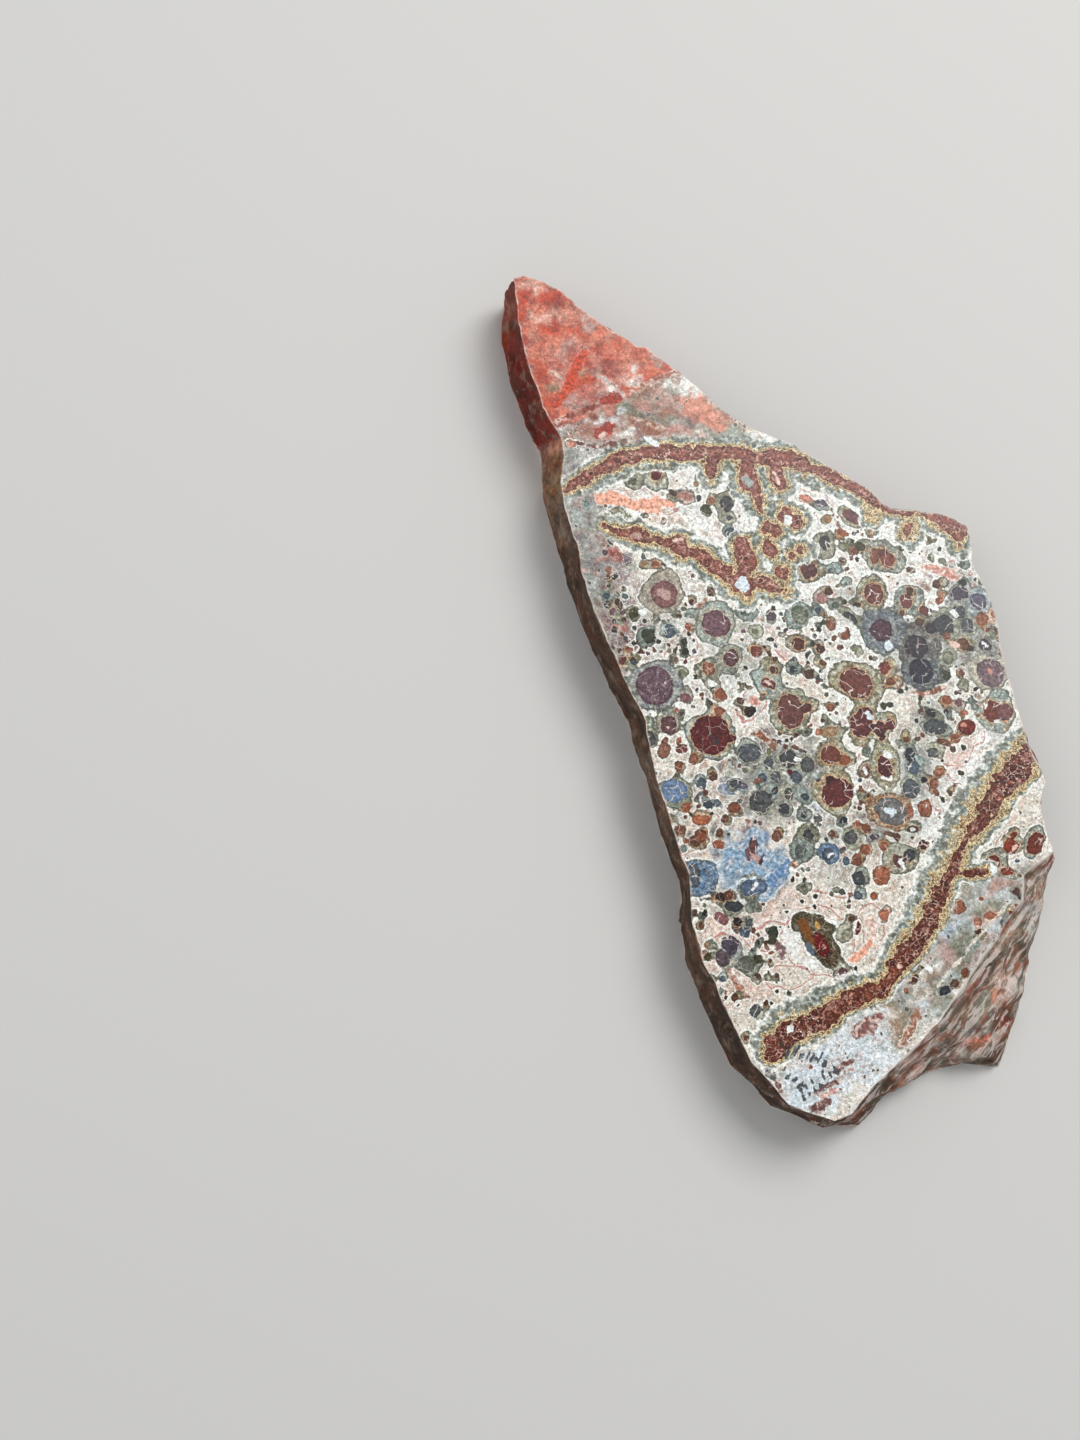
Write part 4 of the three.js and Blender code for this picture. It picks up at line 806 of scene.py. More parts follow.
def orb_layers(xy, wandering, orbs):
    """Cores at xy and halos at the wandering places. Orbs of one kind run together, other kinds
    meet at a seam."""
    core, halo = Layer(len(xy)), Layer(len(xy))
    pull = np.zeros(len(xy))
    for kind, rows in orbs.items():
        core_tint, halo_tint, crackle, warmth = ORB_KINDS[kind]
        core_distance, core_shade = nearest_of_kind(xy, rows, 2, 0.3)
        halo_distance, halo_shade = nearest_of_kind(wandering, rows, 3, 0.2)
        core.add(core_distance, TONES[core_tint], crackle, core_shade)
        halo.add(halo_distance, TONES[halo_tint], warmth, halo_shade)
        pull += np.exp(-np.clip(halo_distance, -4, 8) / NECK)
    halo.near = np.minimum(halo.near, -NECK * np.log(pull + 1e-9))
    return core, halo


def band_layer(xy, bands):
    """Place across the nearest band: below 0 in the core (in millimetres), 0 to 1 in the gold
    fringe, 1 to 2 in the halo, and past 2 outside (in millimetres again). And its core's tint,
    as a place along BAND_TONES."""
    place = np.full(len(xy), FAR)
    tint = np.zeros(len(xy))
    for rows, left, right in bands:
        for a, b in zip(rows, rows[1:]):
            along, away, side = run_along(xy, a[:2], b[:2])
            core, gold, halo, core_tint = (p + (q - p) * along for p, q in zip(a[2:], b[2:]))
            gold = gold * GOLD_SHARE * np.where(side > 0, left[0], right[0]) + 1e-3
            halo = halo * np.where(side > 0, left[1], right[1]) + 1e-3
            edge = away - core - BAND_SPREAD
            zones = [edge < 0, edge < gold, edge < gold + halo]
            here = np.select(zones, [edge, edge / gold, 1 + (edge - gold) / halo], 2 + edge - gold - halo)
            closer = here < place
            place[closer] = here[closer]
            tint[closer] = core_tint[closer]
    return place, tint


def ladder_dashes():
    """The dashes of all ladders, as strokes that lean a little off each ladder's line."""
    dashes = []
    lean = 0.25
    for start, end, count, reach in LADDERS:
        run = np.subtract(end, start)
        across = np.array([-run[1], run[0]]) / np.hypot(*run) + lean * run / np.hypot(*run)
        for n in range(count):
            middle = start + run * n / (count - 1)
            tips = (middle + across * reach, middle - across * reach)
            dashes.append(("slate", [(*tip, width) for tip, width in zip(tips, DASH_HALF_WIDTHS)]))
    return dashes


def stroke_layer(xy, strokes):
    """The nearest of many strokes at each place."""
    layer = Layer(len(xy))
    for name, points in strokes:
        layer.add(stroke_distance(xy, points), TONES[name], PALE_PATCHES.get(name, OTHER_PALE_PATCHES))
    return layer


def wash(colour, xy, rows):
    """Lays soft oval tints over the ground colour, one after the other."""
    for x, y, length, width, turn, name, strength in rows:
        radius = np.sqrt(length * width)
        inside = -oval_distance(xy, x, y, radius, np.sqrt(length / width), turn)
        soft = min(1.2, 0.45 * min(length, width))
        weight = strength * np.clip(inside / soft + 0.5, 0, 1)[:, None]
        colour = colour * (1 - weight) + np.array(TONES[name]) * weight
    return colour


def mottle(colour, xy, zones, seed):
    """Lays seeded soft patches of several tints over each zone, thinning out at its edge."""
    rng = np.random.default_rng(seed)
    bent = warped(xy, 0.5, 0.5, seed)
    for x, y, length, width, turn, count, smallest, largest, names in zones:
        c, s = np.cos(np.radians(turn)), np.sin(np.radians(turn))
        for _ in range(count):
            angle, reach = rng.uniform(0, 2 * np.pi), np.sqrt(rng.random()) * 1.1
            a, b = length * reach * np.cos(angle), width * reach * np.sin(angle)
            place = (x + a * c - b * s, y + a * s + b * c)
            radius = smallest + (largest - smallest) * rng.random() ** 1.6
            name = names[rng.integers(len(names))]
            stretch, lean, strength = rng.uniform(1, 1.5), rng.uniform(0, 180), rng.uniform(0.35, 0.85)
            near = np.hypot(bent[:, 0] - place[0], bent[:, 1] - place[1]) < radius * stretch + 0.6
            inside = -oval_distance(bent[near], *place, radius, stretch, lean)
            weight = (strength * np.clip(inside / (0.5 * radius + 0.15) + 0.3, 0, 1))[:, None]
            colour[near] = colour[near] * (1 - weight) + np.array(TONES[name]) * weight
    return colour


def below_tip(xy):
    """0 in the red tip, 1 below its edge."""
    tip_x, tip_y = np.array(TIP_LINE).T
    beyond = np.clip((xy[:, 1] - np.interp(xy[:, 0], tip_x, tip_y)) / 0.5 + 0.5, 0, 1)
    return 1 - beyond * (xy[:, 0] < 0)


def ground_tint(xy):
    """Colour of the rock between the markings."""
    mix = 0.5 + 0.5 * noise(xy, 7.0, 41)[:, None]
    colour = np.array(TONES["white"]) * mix + np.array(TONES["cream"]) * (1 - mix)
    colour = wash(colour, warped(xy, 1.0, 0.5, 50), WASHES)
    beyond = 1 - below_tip(warped(xy, 0.5, 0.35, 60))[:, None]
    red = np.clip(0.5 + 0.5 * noise(xy, 2.2, 71) + 0.3 * noise(xy, 0.9, 72), 0, 1)[:, None]
    tip = np.array(TONES["tip red"]) * red + np.array(TONES["tip pink"]) * (1 - red)
    tip = mottle(tip, warped(xy, 0.8, 0.9, 83), TIP_MOTTLING, 90)
    tip = wash(tip, warped(xy, 1.0, 0.8, 80), TIP_WASHES)
    colour = mottle(colour, xy, MOTTLING, 91)
    colour = wash(colour, warped(xy, 1.0, 0.9, 81), NECK_WASHES)
    colour = colour * (1 - beyond) + tip * beyond
    return np.clip(colour, 0.01, 0.95)


def side_tint(co):
    """Colour of the broken sides, which follows the face's places with some drift in depth. Its dark brown
    base is partly weathered rock and partly painted shade.
    """
    colour = np.tile(TONES["side brown and shade"], (len(co), 1))
    xy = co[:, :2] + np.column_stack([noise(co, 3.0, 95), noise(co, 3.0, 96)]) * 1.2
    return np.clip(wash(colour, xy, SIDE_WASHES), 0.01, 0.95)


def ring_distance(xy):
    """Distance from the nearest contour line, negative inside its oval."""
    best = np.full(len(xy), FAR)
    for x, y, radius, stretch, turn in RINGS:
        distance = oval_distance(xy, x, y, radius, stretch, turn)
        best = np.where(np.abs(distance) < np.abs(best), distance, best)
    return best


def murkiness(xy):
    """How far halos and ground run together here, from 0 to 1, and how grey the ground is."""
    murk, grey = np.zeros(len(xy)), np.zeros(len(xy))
    for x, y, length, width, turn, strength, share in MURK:
        inside = -oval_distance(xy, x, y, np.sqrt(length * width), np.sqrt(length / width), turn)
        here = strength * np.clip(inside / 2.0 + 0.4, 0, 1)
        murk, grey = np.maximum(murk, here), np.maximum(grey, here * share)
    return murk, grey


def painted_glint(xy):
    """How strongly painted glints, small white highlights on specks, show here, from 0 to 1."""
    best = np.zeros(len(xy))
    for x, y, radius in PAINTED_GLINT_SPOTS:
        best = np.maximum(best, np.clip(1.3 - np.hypot(xy[:, 0] - x, xy[:, 1] - y) / radius, 0, 1))
    return best


def scattered_orbs(orbs, seed, count, largest, lowest):
    """Seeded small orbs in the gaps that the placed ones and the bands leave, in crowds."""
    rng = np.random.default_rng(seed)
    xs = rng.uniform(*DOTS_ACROSS, count)
    ys = rng.uniform(lowest, DOTS_TOP, count)
    radii = SMALLEST_DOT + (largest - SMALLEST_DOT) * rng.random(count) ** 2.2
    picks = rng.random(count)
    shapes = rng.uniform(1.0, 1.2, count)
    turns = rng.uniform(0, 180, count)
    spots = np.column_stack([xs, ys])
    cores, halos = orb_layers(spots, spots, orbs)
    past_bands = band_layer(spots, BANDS)[0] - 2
    room = np.minimum.reduce([halos.near, cores.near, past_bands, stroke_layer(spots, VEINS).near])
    for x, y, length, width, turn in OPEN_GROUND:
        away = oval_distance(spots, x, y, np.sqrt(length * width), np.sqrt(length / width), turn)
        room = np.where(away < 0, np.minimum(room, 0.0), room)
    murk, grey = murkiness(spots)
    crowd = noise(spots, 5.0, seed + 1) + 1.5 * grey
    reddish = 0.36 + 0.7 * noise(spots, 5.5, seed + 2) - 0.3 * grey
    added, taken = {}, []
    for n in range(count):
        x, y, radius = xs[n], ys[n], radii[n]
        apart = 0.92 - 0.2 * murk[n]
        if crowd[n] < -0.05 or room[n] < radius * 0.8:
            continue
        if any(np.hypot(x - a, y - b) < (radius + r) * apart for a, b, r in taken):
            continue
        taken.append((x, y, radius))
        two_tone = radius > TWO_TONE_FROM
        core, halo = (radius * CORE_SHARE, radius * HALO_SHARE) if two_tone else (radius, 0)
        kinds = WARM_KINDS if picks[n] < reddish[n] else COOL_KINDS
        kind = kinds[int(picks[n] * 997) % len(kinds)]
        added.setdefault(kind, []).append((x, y, core, halo, shapes[n], turns[n]))
    return added


def joined(first, second):
    """Two sets of orbs as one."""
    return {kind: first.get(kind, []) + second.get(kind, []) for kind in {**first, **second}}


def back_orbs(orbs, seed):
    """The hidden face cuts the same orbs 10 mm deeper: moved, and larger or smaller."""
    rng = np.random.default_rng(seed)
    moved = {}
    for kind, rows in orbs.items():
        moved[kind] = []
        for x, y, core, halo, *oval in rows:
            dx, dy = rng.uniform(-2.2, 2.2, 2)
            size = rng.uniform(0.55, 1.25)
            moved[kind].append((x + dx, y + dy, core * size, halo * size, *oval))
    return moved


# Shape

def cad_side():
    """The CAD node as a bmesh in millimetres, without its two sawn faces, cut finely."""
    bm = bmesh.new()
    bm.from_mesh(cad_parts["rhyolite_slab"].data)
    bmesh.ops.transform(bm, matrix=Matrix.Scale(1 / MM, 4), verts=bm.verts)
    bmesh.ops.remove_doubles(bm, verts=bm.verts, dist=0.002)
    sawn = [f for f in bm.faces
            if all(v.co.z > THICKNESS - LEVEL for v in f.verts) or all(v.co.z < LEVEL for v in f.verts)]
    bmesh.ops.delete(bm, geom=sawn, context="FACES")
    bmesh.ops.subdivide_edges(bm, edges=bm.edges[:], cuts=SIDE_CUTS, use_grid_fill=True)
    return bm


def rim_loop(bm, height):
    """The vertices of one open rim, in order round the slab."""
    edges = [e for e in bm.edges if e.is_boundary and all(abs(v.co.z - height) < 0.01 for v in e.verts)]
    links = {}
    for e in edges:
        a, b = e.verts
        links.setdefault(a, []).append(b)
        links.setdefault(b, []).append(a)
    start = edges[0].verts[0]
    loop, before, here = [start], None, start
    while True:
        after = next(v for v in links[here] if v is not before)
        if after is start:
            return loop
        loop.append(after)
        before, here = here, after


def fade_in(co):
    """0 on the rims of the two sawn faces, 1 from a little way down the side."""
    return np.clip(np.minimum(THICKNESS - co[:, 2], co[:, 2]) / RIM_FADE, 0, 1)


def break_slope(co, normal):
    """1 on the sloping break at the lower right, 0 on the upright sides."""
    lower_right = np.clip((co[:, 0] - co[:, 1] - BREAK_START) / BREAK_BLEND, 0, 1)
    return np.clip((normal[:, 2] - 0.15) / 0.3, 0, 1) * lower_right


def roughen(bm):
    """Fine broken relief on the sides, fading out at both rims, and small chips in the rims."""
    bm.normal_update()
    co = np.array([v.co for v in bm.verts])
    normal = np.array([v.normal for v in bm.verts])
    fade = fade_in(co)
    slope = break_slope(co, normal)
    c, s = np.cos(STREAK_TURN), np.sin(STREAK_TURN)
    along, across = co[:, 0] * c + co[:, 1] * s, co[:, 1] * c - co[:, 0] * s
    ridges = 1 - np.abs(noise(np.column_stack([along / 7, across / 1.5, co[:, 2] / 2.5]), 1.0, 16)) * 2
    co -= normal * (fade * RIDGE_DEPTH * slope * (0.8 - ridges))[:, None]
    ridged = 1 - np.abs(noise(co, 2.3, 11)) * 1.4
    depth = 0.45 * ridged + 0.35 * noise(co, 1.1, 12) + 0.25 * noise(co, 0.55, 13) + 0.3
    co -= normal * (fade * ROUGHNESS_DEPTH * np.clip(depth, -0.2, 1.6))[:, None]
    rim = fade == 0
    flat = normal[:, :2] / np.maximum(np.linalg.norm(normal[:, :2], axis=1), 1e-6)[:, None]
    chips = np.clip(0.4 + noise(co, 0.9, 14) + 0.6 * noise(co, 2.8, 15), 0, 1.4)
    co[rim, :2] -= flat[rim] * (RIM_CHIP * chips[rim])[:, None]
    low, high = (np.array(corner) / MM for corner in CAD_BOX)
    co = np.clip(co, low, high)
    for v, place in zip(bm.verts, co):
        v.co = place


def loop_distance(points, loop):
    """Distance from each point to a closed outline, and whether the point is inside it."""
    best = np.full(len(points), FAR)
    inside = np.zeros(len(points), bool)
    for (x0, y0), (x1, y1) in zip(loop, np.roll(loop, -1, axis=0)):
        _, away, _ = run_along(points, (x0, y0), (x1, y1))
        best = np.minimum(best, away)
        crosses = (y0 > points[:, 1]) != (y1 > points[:, 1])
        where = x0 + (points[:, 1] - y0) * (x1 - x0) / (y1 - y0 + 1e-12)
        inside ^= crosses & (points[:, 0] < where)
    return best, inside


def even_net(low, high, step):
    """Places of an even net of triangles over a box, in rows that are shifted in turn."""
    rows = []
    for n, y in enumerate(np.arange(low[1], high[1], step * ROW_RISE)):
        xs = np.arange(low[0] + (n % 2) * step / 2, high[0], step)
        rows.append(np.column_stack([xs, np.full(len(xs), y)]))
    return np.vstack(rows)


def fill_face(bm, loop, height, step, extra):
    """Closes one sawn face with an even net of triangles inside its rim, and any extra places."""
    outline = np.array([v.co[:2] for v in loop])
    net = np.vstack([even_net(outline.min(0), outline.max(0), step), extra])
    away, inside = loop_distance(net, outline)
    net = net[inside & (away > step * 0.6)]
    count = len(loop)
    points = [tuple(p) for p in outline] + [tuple(p) for p in net]
    edges = [(n, (n + 1) % count) for n in range(count)]
    inside_only, tolerance = 1, 1e-5
    verts, _, faces, source, _, _ = delaunay_2d_cdt(points, edges, [], inside_only, tolerance)
    made = []
    for place, origin in zip(verts, source):
        rim = next((n for n in origin if n < count), None)
        made.append(loop[rim] if rim is not None else bm.verts.new((place[0], place[1], height)))
    up = height > THICKNESS / 2
    for face in faces:
        corners = [made[n] for n in face]
        a, b, c = (v.co for v in corners)
        if ((b - a).cross(c - a).z > 0) != up:
            corners.reverse()
        bm.faces.new(corners)


def dot_points(orbs):
    """Extra net points in and round the smallest dots, so that they stay round."""
    rows = []
    for kinds in orbs.values():
        for x, y, core, halo, *_ in kinds:
            radius = core or halo
            if radius and radius < SMALL_ORB:
                rows.append((x, y))
                for n in range(SMALL_ORB_POINTS):
                    angle = 2 * np.pi * n / SMALL_ORB_POINTS
                    rows.append((x + radius * np.cos(angle), y + radius * np.sin(angle)))
    return np.array(rows)


def attribute(mesh, name, kind, domain, values):
    """Stores one value or one colour for each point or face of the mesh."""
    layer = mesh.attributes.new(name, kind, domain)
    field = {"FLOAT": "value", "FLOAT_COLOR": "color"}[kind]
    layer.data.foreach_set(field, np.asarray(values, np.float32).ravel())


def band_colours(xy, tint):
    """Tint of the bands' cores, and of the halo round them, which is pale in places."""
    steps = np.arange(len(BAND_TONES))
    parts = zip(*(TONES[name] for name in BAND_TONES))
    core = np.column_stack([np.interp(tint, steps, part) for part in parts])
    pale = np.clip(0.5 + 0.6 * noise(xy, 3.0, 35), 0, 1)[:, None]
    return core, np.array(TONES["dark halo"]) * (1 - pale) + np.array(TONES["pale grey"]) * pale


def markings(co, orbs, shift):
    """The distances and tints that the material reads, at places in millimetres."""
    xy = co[:, :2] + shift
    bent = warped(xy, 0.34, 0.16, 20)
    core, halo = orb_layers(bent, warped(xy, 0.75, 0.35, 28), orbs)
    place, tint = band_layer(warped(xy, 0.3, 0.4, 30), BANDS)
    vein, fleck = stroke_layer(bent, VEINS), stroke_layer(bent, FLECKS + ladder_dashes())
    on_side = (co[:, 2] > LEVEL) & (co[:, 2] < THICKNESS - LEVEL)
    tinted = np.where(on_side[:, None], side_tint(co), ground_tint(xy))
    murk, grey = murkiness(warped(xy, 1.2, 0.8, 26))
    band_core, band_halo = band_colours(xy, tint)
    return {
        "core": core.near,
        "halo": halo.near,
        "halo_lead": halo.next - halo.near,
        "outer": np.minimum.reduce([core.near, halo.near, place - 2, vein.near]),
        "ring": ring_distance(warped(xy, 0.9, 0.5, 24)),
        "band": place,
        "vein": vein.near,
        "fleck": fleck.near,
        "painted_glint": painted_glint(xy),
        "core_tint": core.tint,
        "halo_tint": halo.tint,
        "vein_tint": vein.tint,
        "fleck_tint": fleck.tint,
        "ground_tint": np.column_stack([tinted, below_tip(xy)]),
        "band_halo": np.column_stack([band_halo, murk]),
        "band_tint": np.column_stack([band_core, grey]),
    }


def paint(mesh, front, back):
    """Writes the markings of both faces; the sides carry on those of the front."""
    co = np.empty(len(mesh.vertices) * 3)
    mesh.vertices.foreach_get("co", co)
    co = co.reshape(-1, 3) / MM
    up = co[:, 2] > LEVEL
    above, below = markings(co[up], front, 0.0), markings(co[~up], back, BACK_SHIFT)
    for name, value in above.items():
        whole = np.zeros((len(co),) if value.ndim == 1 else (len(co), 4))
        whole[up], whole[~up] = value, below[name]
        attribute(mesh, name, "FLOAT" if value.ndim == 1 else "FLOAT_COLOR", "POINT", whole)


def make_slab():
    """The slab as one closed mesh: broken sides from the CAD node, and two finely netted faces."""
    front = joined(ORBS, scattered_orbs(ORBS, 5, *FRONT_DOTS))
    deeper = back_orbs(ORBS, 8)
    back = joined(deeper, scattered_orbs(deeper, 9, *BACK_DOTS))
    bm = cad_side()
    roughen(bm)
    top, bottom = rim_loop(bm, THICKNESS), rim_loop(bm, 0)
    side_faces, side_places = len(bm.faces), len(bm.verts)
    fill_face(bm, top, THICKNESS, FRONT_STEP, dot_points(front))
    fill_face(bm, bottom, 0.0, BACK_STEP, np.empty((0, 2)))
    bmesh.ops.transform(bm, matrix=Matrix.Scale(MM, 4), verts=bm.verts)
    mesh = bpy.data.meshes.new("leopard_slab")
    bm.to_mesh(mesh)
    bm.free()
    rind = np.arange(len(mesh.polygons)) < side_faces
    normals = np.array([v.normal for v in mesh.vertices])
    places = np.array([v.co for v in mesh.vertices]) / MM
    rim = (np.arange(len(places)) < side_places) & (fade_in(places) < 0.01)
    attribute(mesh, "slope", "FLOAT", "POINT", break_slope(places, normals))
    attribute(mesh, "rim", "FLOAT", "POINT", rim)
    attribute(mesh, "rind", "FLOAT", "FACE", rind)
    mesh.polygons.foreach_set("use_smooth", np.ones(len(mesh.polygons), bool))
    mark_sharp_rims(mesh, rind)
    paint(mesh, front, back)
    slab = bpy.data.objects.new("leopard_slab", mesh)
    bpy.context.scene.collection.objects.link(slab)
    return slab


def mark_sharp_rims(mesh, rind):
    """Edges between a sawn face and a broken side stay crisp."""
    seen = {}
    for polygon in mesh.polygons:
        for key in polygon.edge_keys:
            seen.setdefault(key, []).append(bool(rind[polygon.index]))
    sharp = np.array([len(set(seen.get(tuple(sorted(e.vertices)), [True]))) > 1 for e in mesh.edges])
    layer = mesh.attributes.get("sharp_edge") or mesh.attributes.new("sharp_edge", "BOOLEAN", "EDGE")
    layer.data.foreach_set("value", sharp)


# Material

class Net:
    """Short names for building one material's nodes."""

    def __init__(self, name):
        self.material = bpy.data.materials.new(name)
        self.material.use_nodes = True
        self.tree = self.material.node_tree
        self.shader = self.tree.nodes["Principled BSDF"]

    def put(self, socket, value):
        """Links an output to the socket, or sets the socket to a number or a colour."""
        if hasattr(value, "is_output"):
            self.tree.links.new(value, socket)
        elif isinstance(value, tuple) and len(value) < len(socket.default_value):
            socket.default_value = (*value, 1.0)
        else:
            socket.default_value = value

    def read(self, name, output="Fac"):
        """What the mesh carries under this name."""
        node = self.tree.nodes.new("ShaderNodeAttribute")
        node.attribute_name = name
        return node.outputs[output]

    def math(self, operation, *values):
        """One step of arithmetic."""
        node = self.tree.nodes.new("ShaderNodeMath")
        node.operation = operation
        for socket, value in zip(node.inputs, values):
            self.put(socket, value)
        return node.outputs[0]

    def add(self, a, b):
        return self.math("ADD", a, b)

    def times(self, a, b):
        return self.math("MULTIPLY", a, b)

    def scaled(self, value, low, high, to_low=0.0, to_high=1.0):
        """The value carried from one range to another, and held at that range's ends."""
        node = self.tree.nodes.new("ShaderNodeMapRange")
        for socket, item in zip(node.inputs, (value, low, high, to_low, to_high)):
            self.put(socket, item)
        return node.outputs[0]

    def below(self, value, edge, soft=0.05):
        """1 where the value is under the edge, with a soft step."""
        return self.scaled(value, edge + soft, edge - soft)

    def between(self, value, low, high, soft):
        """1 where the value lies between two edges."""
        return self.times(self.below(value, high, soft), self.scaled(value, low - soft, low + soft))

    def mix(self, share, a, b, blend="MIX"):
        """The first colour with that share of the second one over it."""
        node = self.tree.nodes.new("ShaderNodeMix")
        node.data_type = "RGBA"
        node.blend_type = blend
        for socket, value in zip((node.inputs[0], node.inputs[6], node.inputs[7]), (share, a, b)):
            self.put(socket, value)
        return node.outputs[2]

    def line(self, colour, value, low, high, soft, share, tint):
        """The colour with a line of another tint where the value lies between two edges."""
        return self.mix(self.times(self.between(value, low, high, soft), share), colour, tint)

    def shade(self, colour, amount):
        """The colour times a number."""
        node = self.tree.nodes.new("ShaderNodeVectorMath")
        node.operation = "SCALE"
        self.put(node.inputs[0], colour)
        self.put(node.inputs["Scale"], amount)
        return node.outputs[0]

    def deepened(self, colour, power):
        """The colour with its dark parts made darker."""
        node = self.tree.nodes.new("ShaderNodeGamma")
        self.put(node.inputs[0], colour)
        node.inputs[1].default_value = power
        return node.outputs[0]

    def mapped(self, where, turn, stretch):
        """Places along axes turned about the upright one, with features longer by each stretch."""
        node = self.tree.nodes.new("ShaderNodeMapping")
        node.vector_type = "TEXTURE"
        node.inputs["Rotation"].default_value = (0.0, 0.0, turn)
        node.inputs["Scale"].default_value = stretch
        self.put(node.inputs["Vector"], where)
        return node.outputs[0]

    def pushed(self, where, size, amount):
        """Places pushed about by noise with features of about that size."""
        wander = self.tree.nodes.new("ShaderNodeTexNoise")
        self.put(wander.inputs["Vector"], where)
        wander.inputs["Scale"].default_value = 1 / size
        node = self.tree.nodes.new("ShaderNodeVectorMath")
        node.operation = "MULTIPLY_ADD"
        self.put(node.inputs[0], wander.outputs["Color"])
        node.inputs[1].default_value = (amount, amount, amount)
        self.put(node.inputs[2], where)
        return node.outputs[0]

    def grain(self, where, size, detail=2.0, rough=0.5, bend=0.0):
        """Noise from 0 to 1 with features of about that size."""
        node = self.tree.nodes.new("ShaderNodeTexNoise")
        self.put(node.inputs["Vector"], where)
        node.inputs["Scale"].default_value = 1 / size
        node.inputs["Detail"].default_value = detail
        node.inputs["Roughness"].default_value = rough
        node.inputs["Distortion"].default_value = bend
        return node.outputs["Fac"]

    def cells(self, where, size, feature="F1"):
        """Uneven cells of about that size."""
        node = self.tree.nodes.new("ShaderNodeTexVoronoi")
        node.feature = feature
        self.put(node.inputs["Vector"], where)
        node.inputs["Scale"].default_value = 1 / size
        return node

    def height(self, where):
        """How high a place lies."""
        node = self.tree.nodes.new("ShaderNodeSeparateXYZ")
        self.put(node.inputs[0], where)
        return node.outputs["Z"]

    def split(self, colour):
        """The three parts of a colour."""
        node = self.tree.nodes.new("ShaderNodeSeparateColor")
        self.put(node.inputs[0], colour)
        return node.outputs

    def swing(self, value, amount):
        """Noise from 0 to 1 turned into a push of up to half the amount either way."""
        return self.math("MULTIPLY_ADD", value, amount, -amount / 2)


def mottled(net, colour, where, size, dark, light):
    """The colour made darker and lighter in patches of about that size."""
    return net.shade(colour, net.scaled(net.grain(where, size, 3.0, 0.6), 0.36, 0.64, dark, light))


def patched(net, colour, where, size, edge, other, strength, soft=0.03):
    """Patches of another tint, about that size, where the noise is above the edge."""
    share = net.scaled(net.grain(where, size, 4.0, 0.6, 0.4), edge - soft, edge + soft, 0.0, strength)
    return net.mix(share, colour, other)


def patches(net, colour, where, rows):
    """Patches laid one after the other; a row is size, edge, tint, strength and softness."""
    for row in rows:
        colour = patched(net, colour, where, *row)
    return colour


def stained(net, colour, stain):
    """The colour as if the stain were laid over it."""
    return net.mix(1.0, colour, stain, "MULTIPLY")


def small_dots(net, where, colour, room, size, share, radius):
    """Crisp little round spots of brown, grey and olive, each with a pale ring, one in some cells."""
    cells = net.cells(where, size)
    first, second, third = net.split(cells.outputs["Color"])
    present = net.times(net.scaled(first, 1 - share, 1 - share + 0.02), room)
    reach = net.scaled(second, 0.0, 1.0, radius * 0.55, radius)
    edge = net.math("SUBTRACT", cells.outputs["Distance"], reach)
    ring = net.times(net.between(edge, 0.0, 0.09 / size, 0.03 / size), present)
    tint = net.mix(net.scaled(third, 0.36, 0.4), tone(92, 92, 74), tone(112, 84, 66))
    tint = net.mix(net.scaled(third, 0.62, 0.66), tint, tone(112, 114, 110))
    tint = net.mix(net.scaled(third, 0.9, 0.92), tint, tone(150, 88, 66))
    tint = mottled(net, tint, where, 0.3, 0.8, 1.2)
    colour = net.mix(net.times(ring, 0.35), colour, tone(238, 226, 212))
    return net.mix(net.times(net.below(edge, 0.0, 0.03 / size), present), colour, tint)


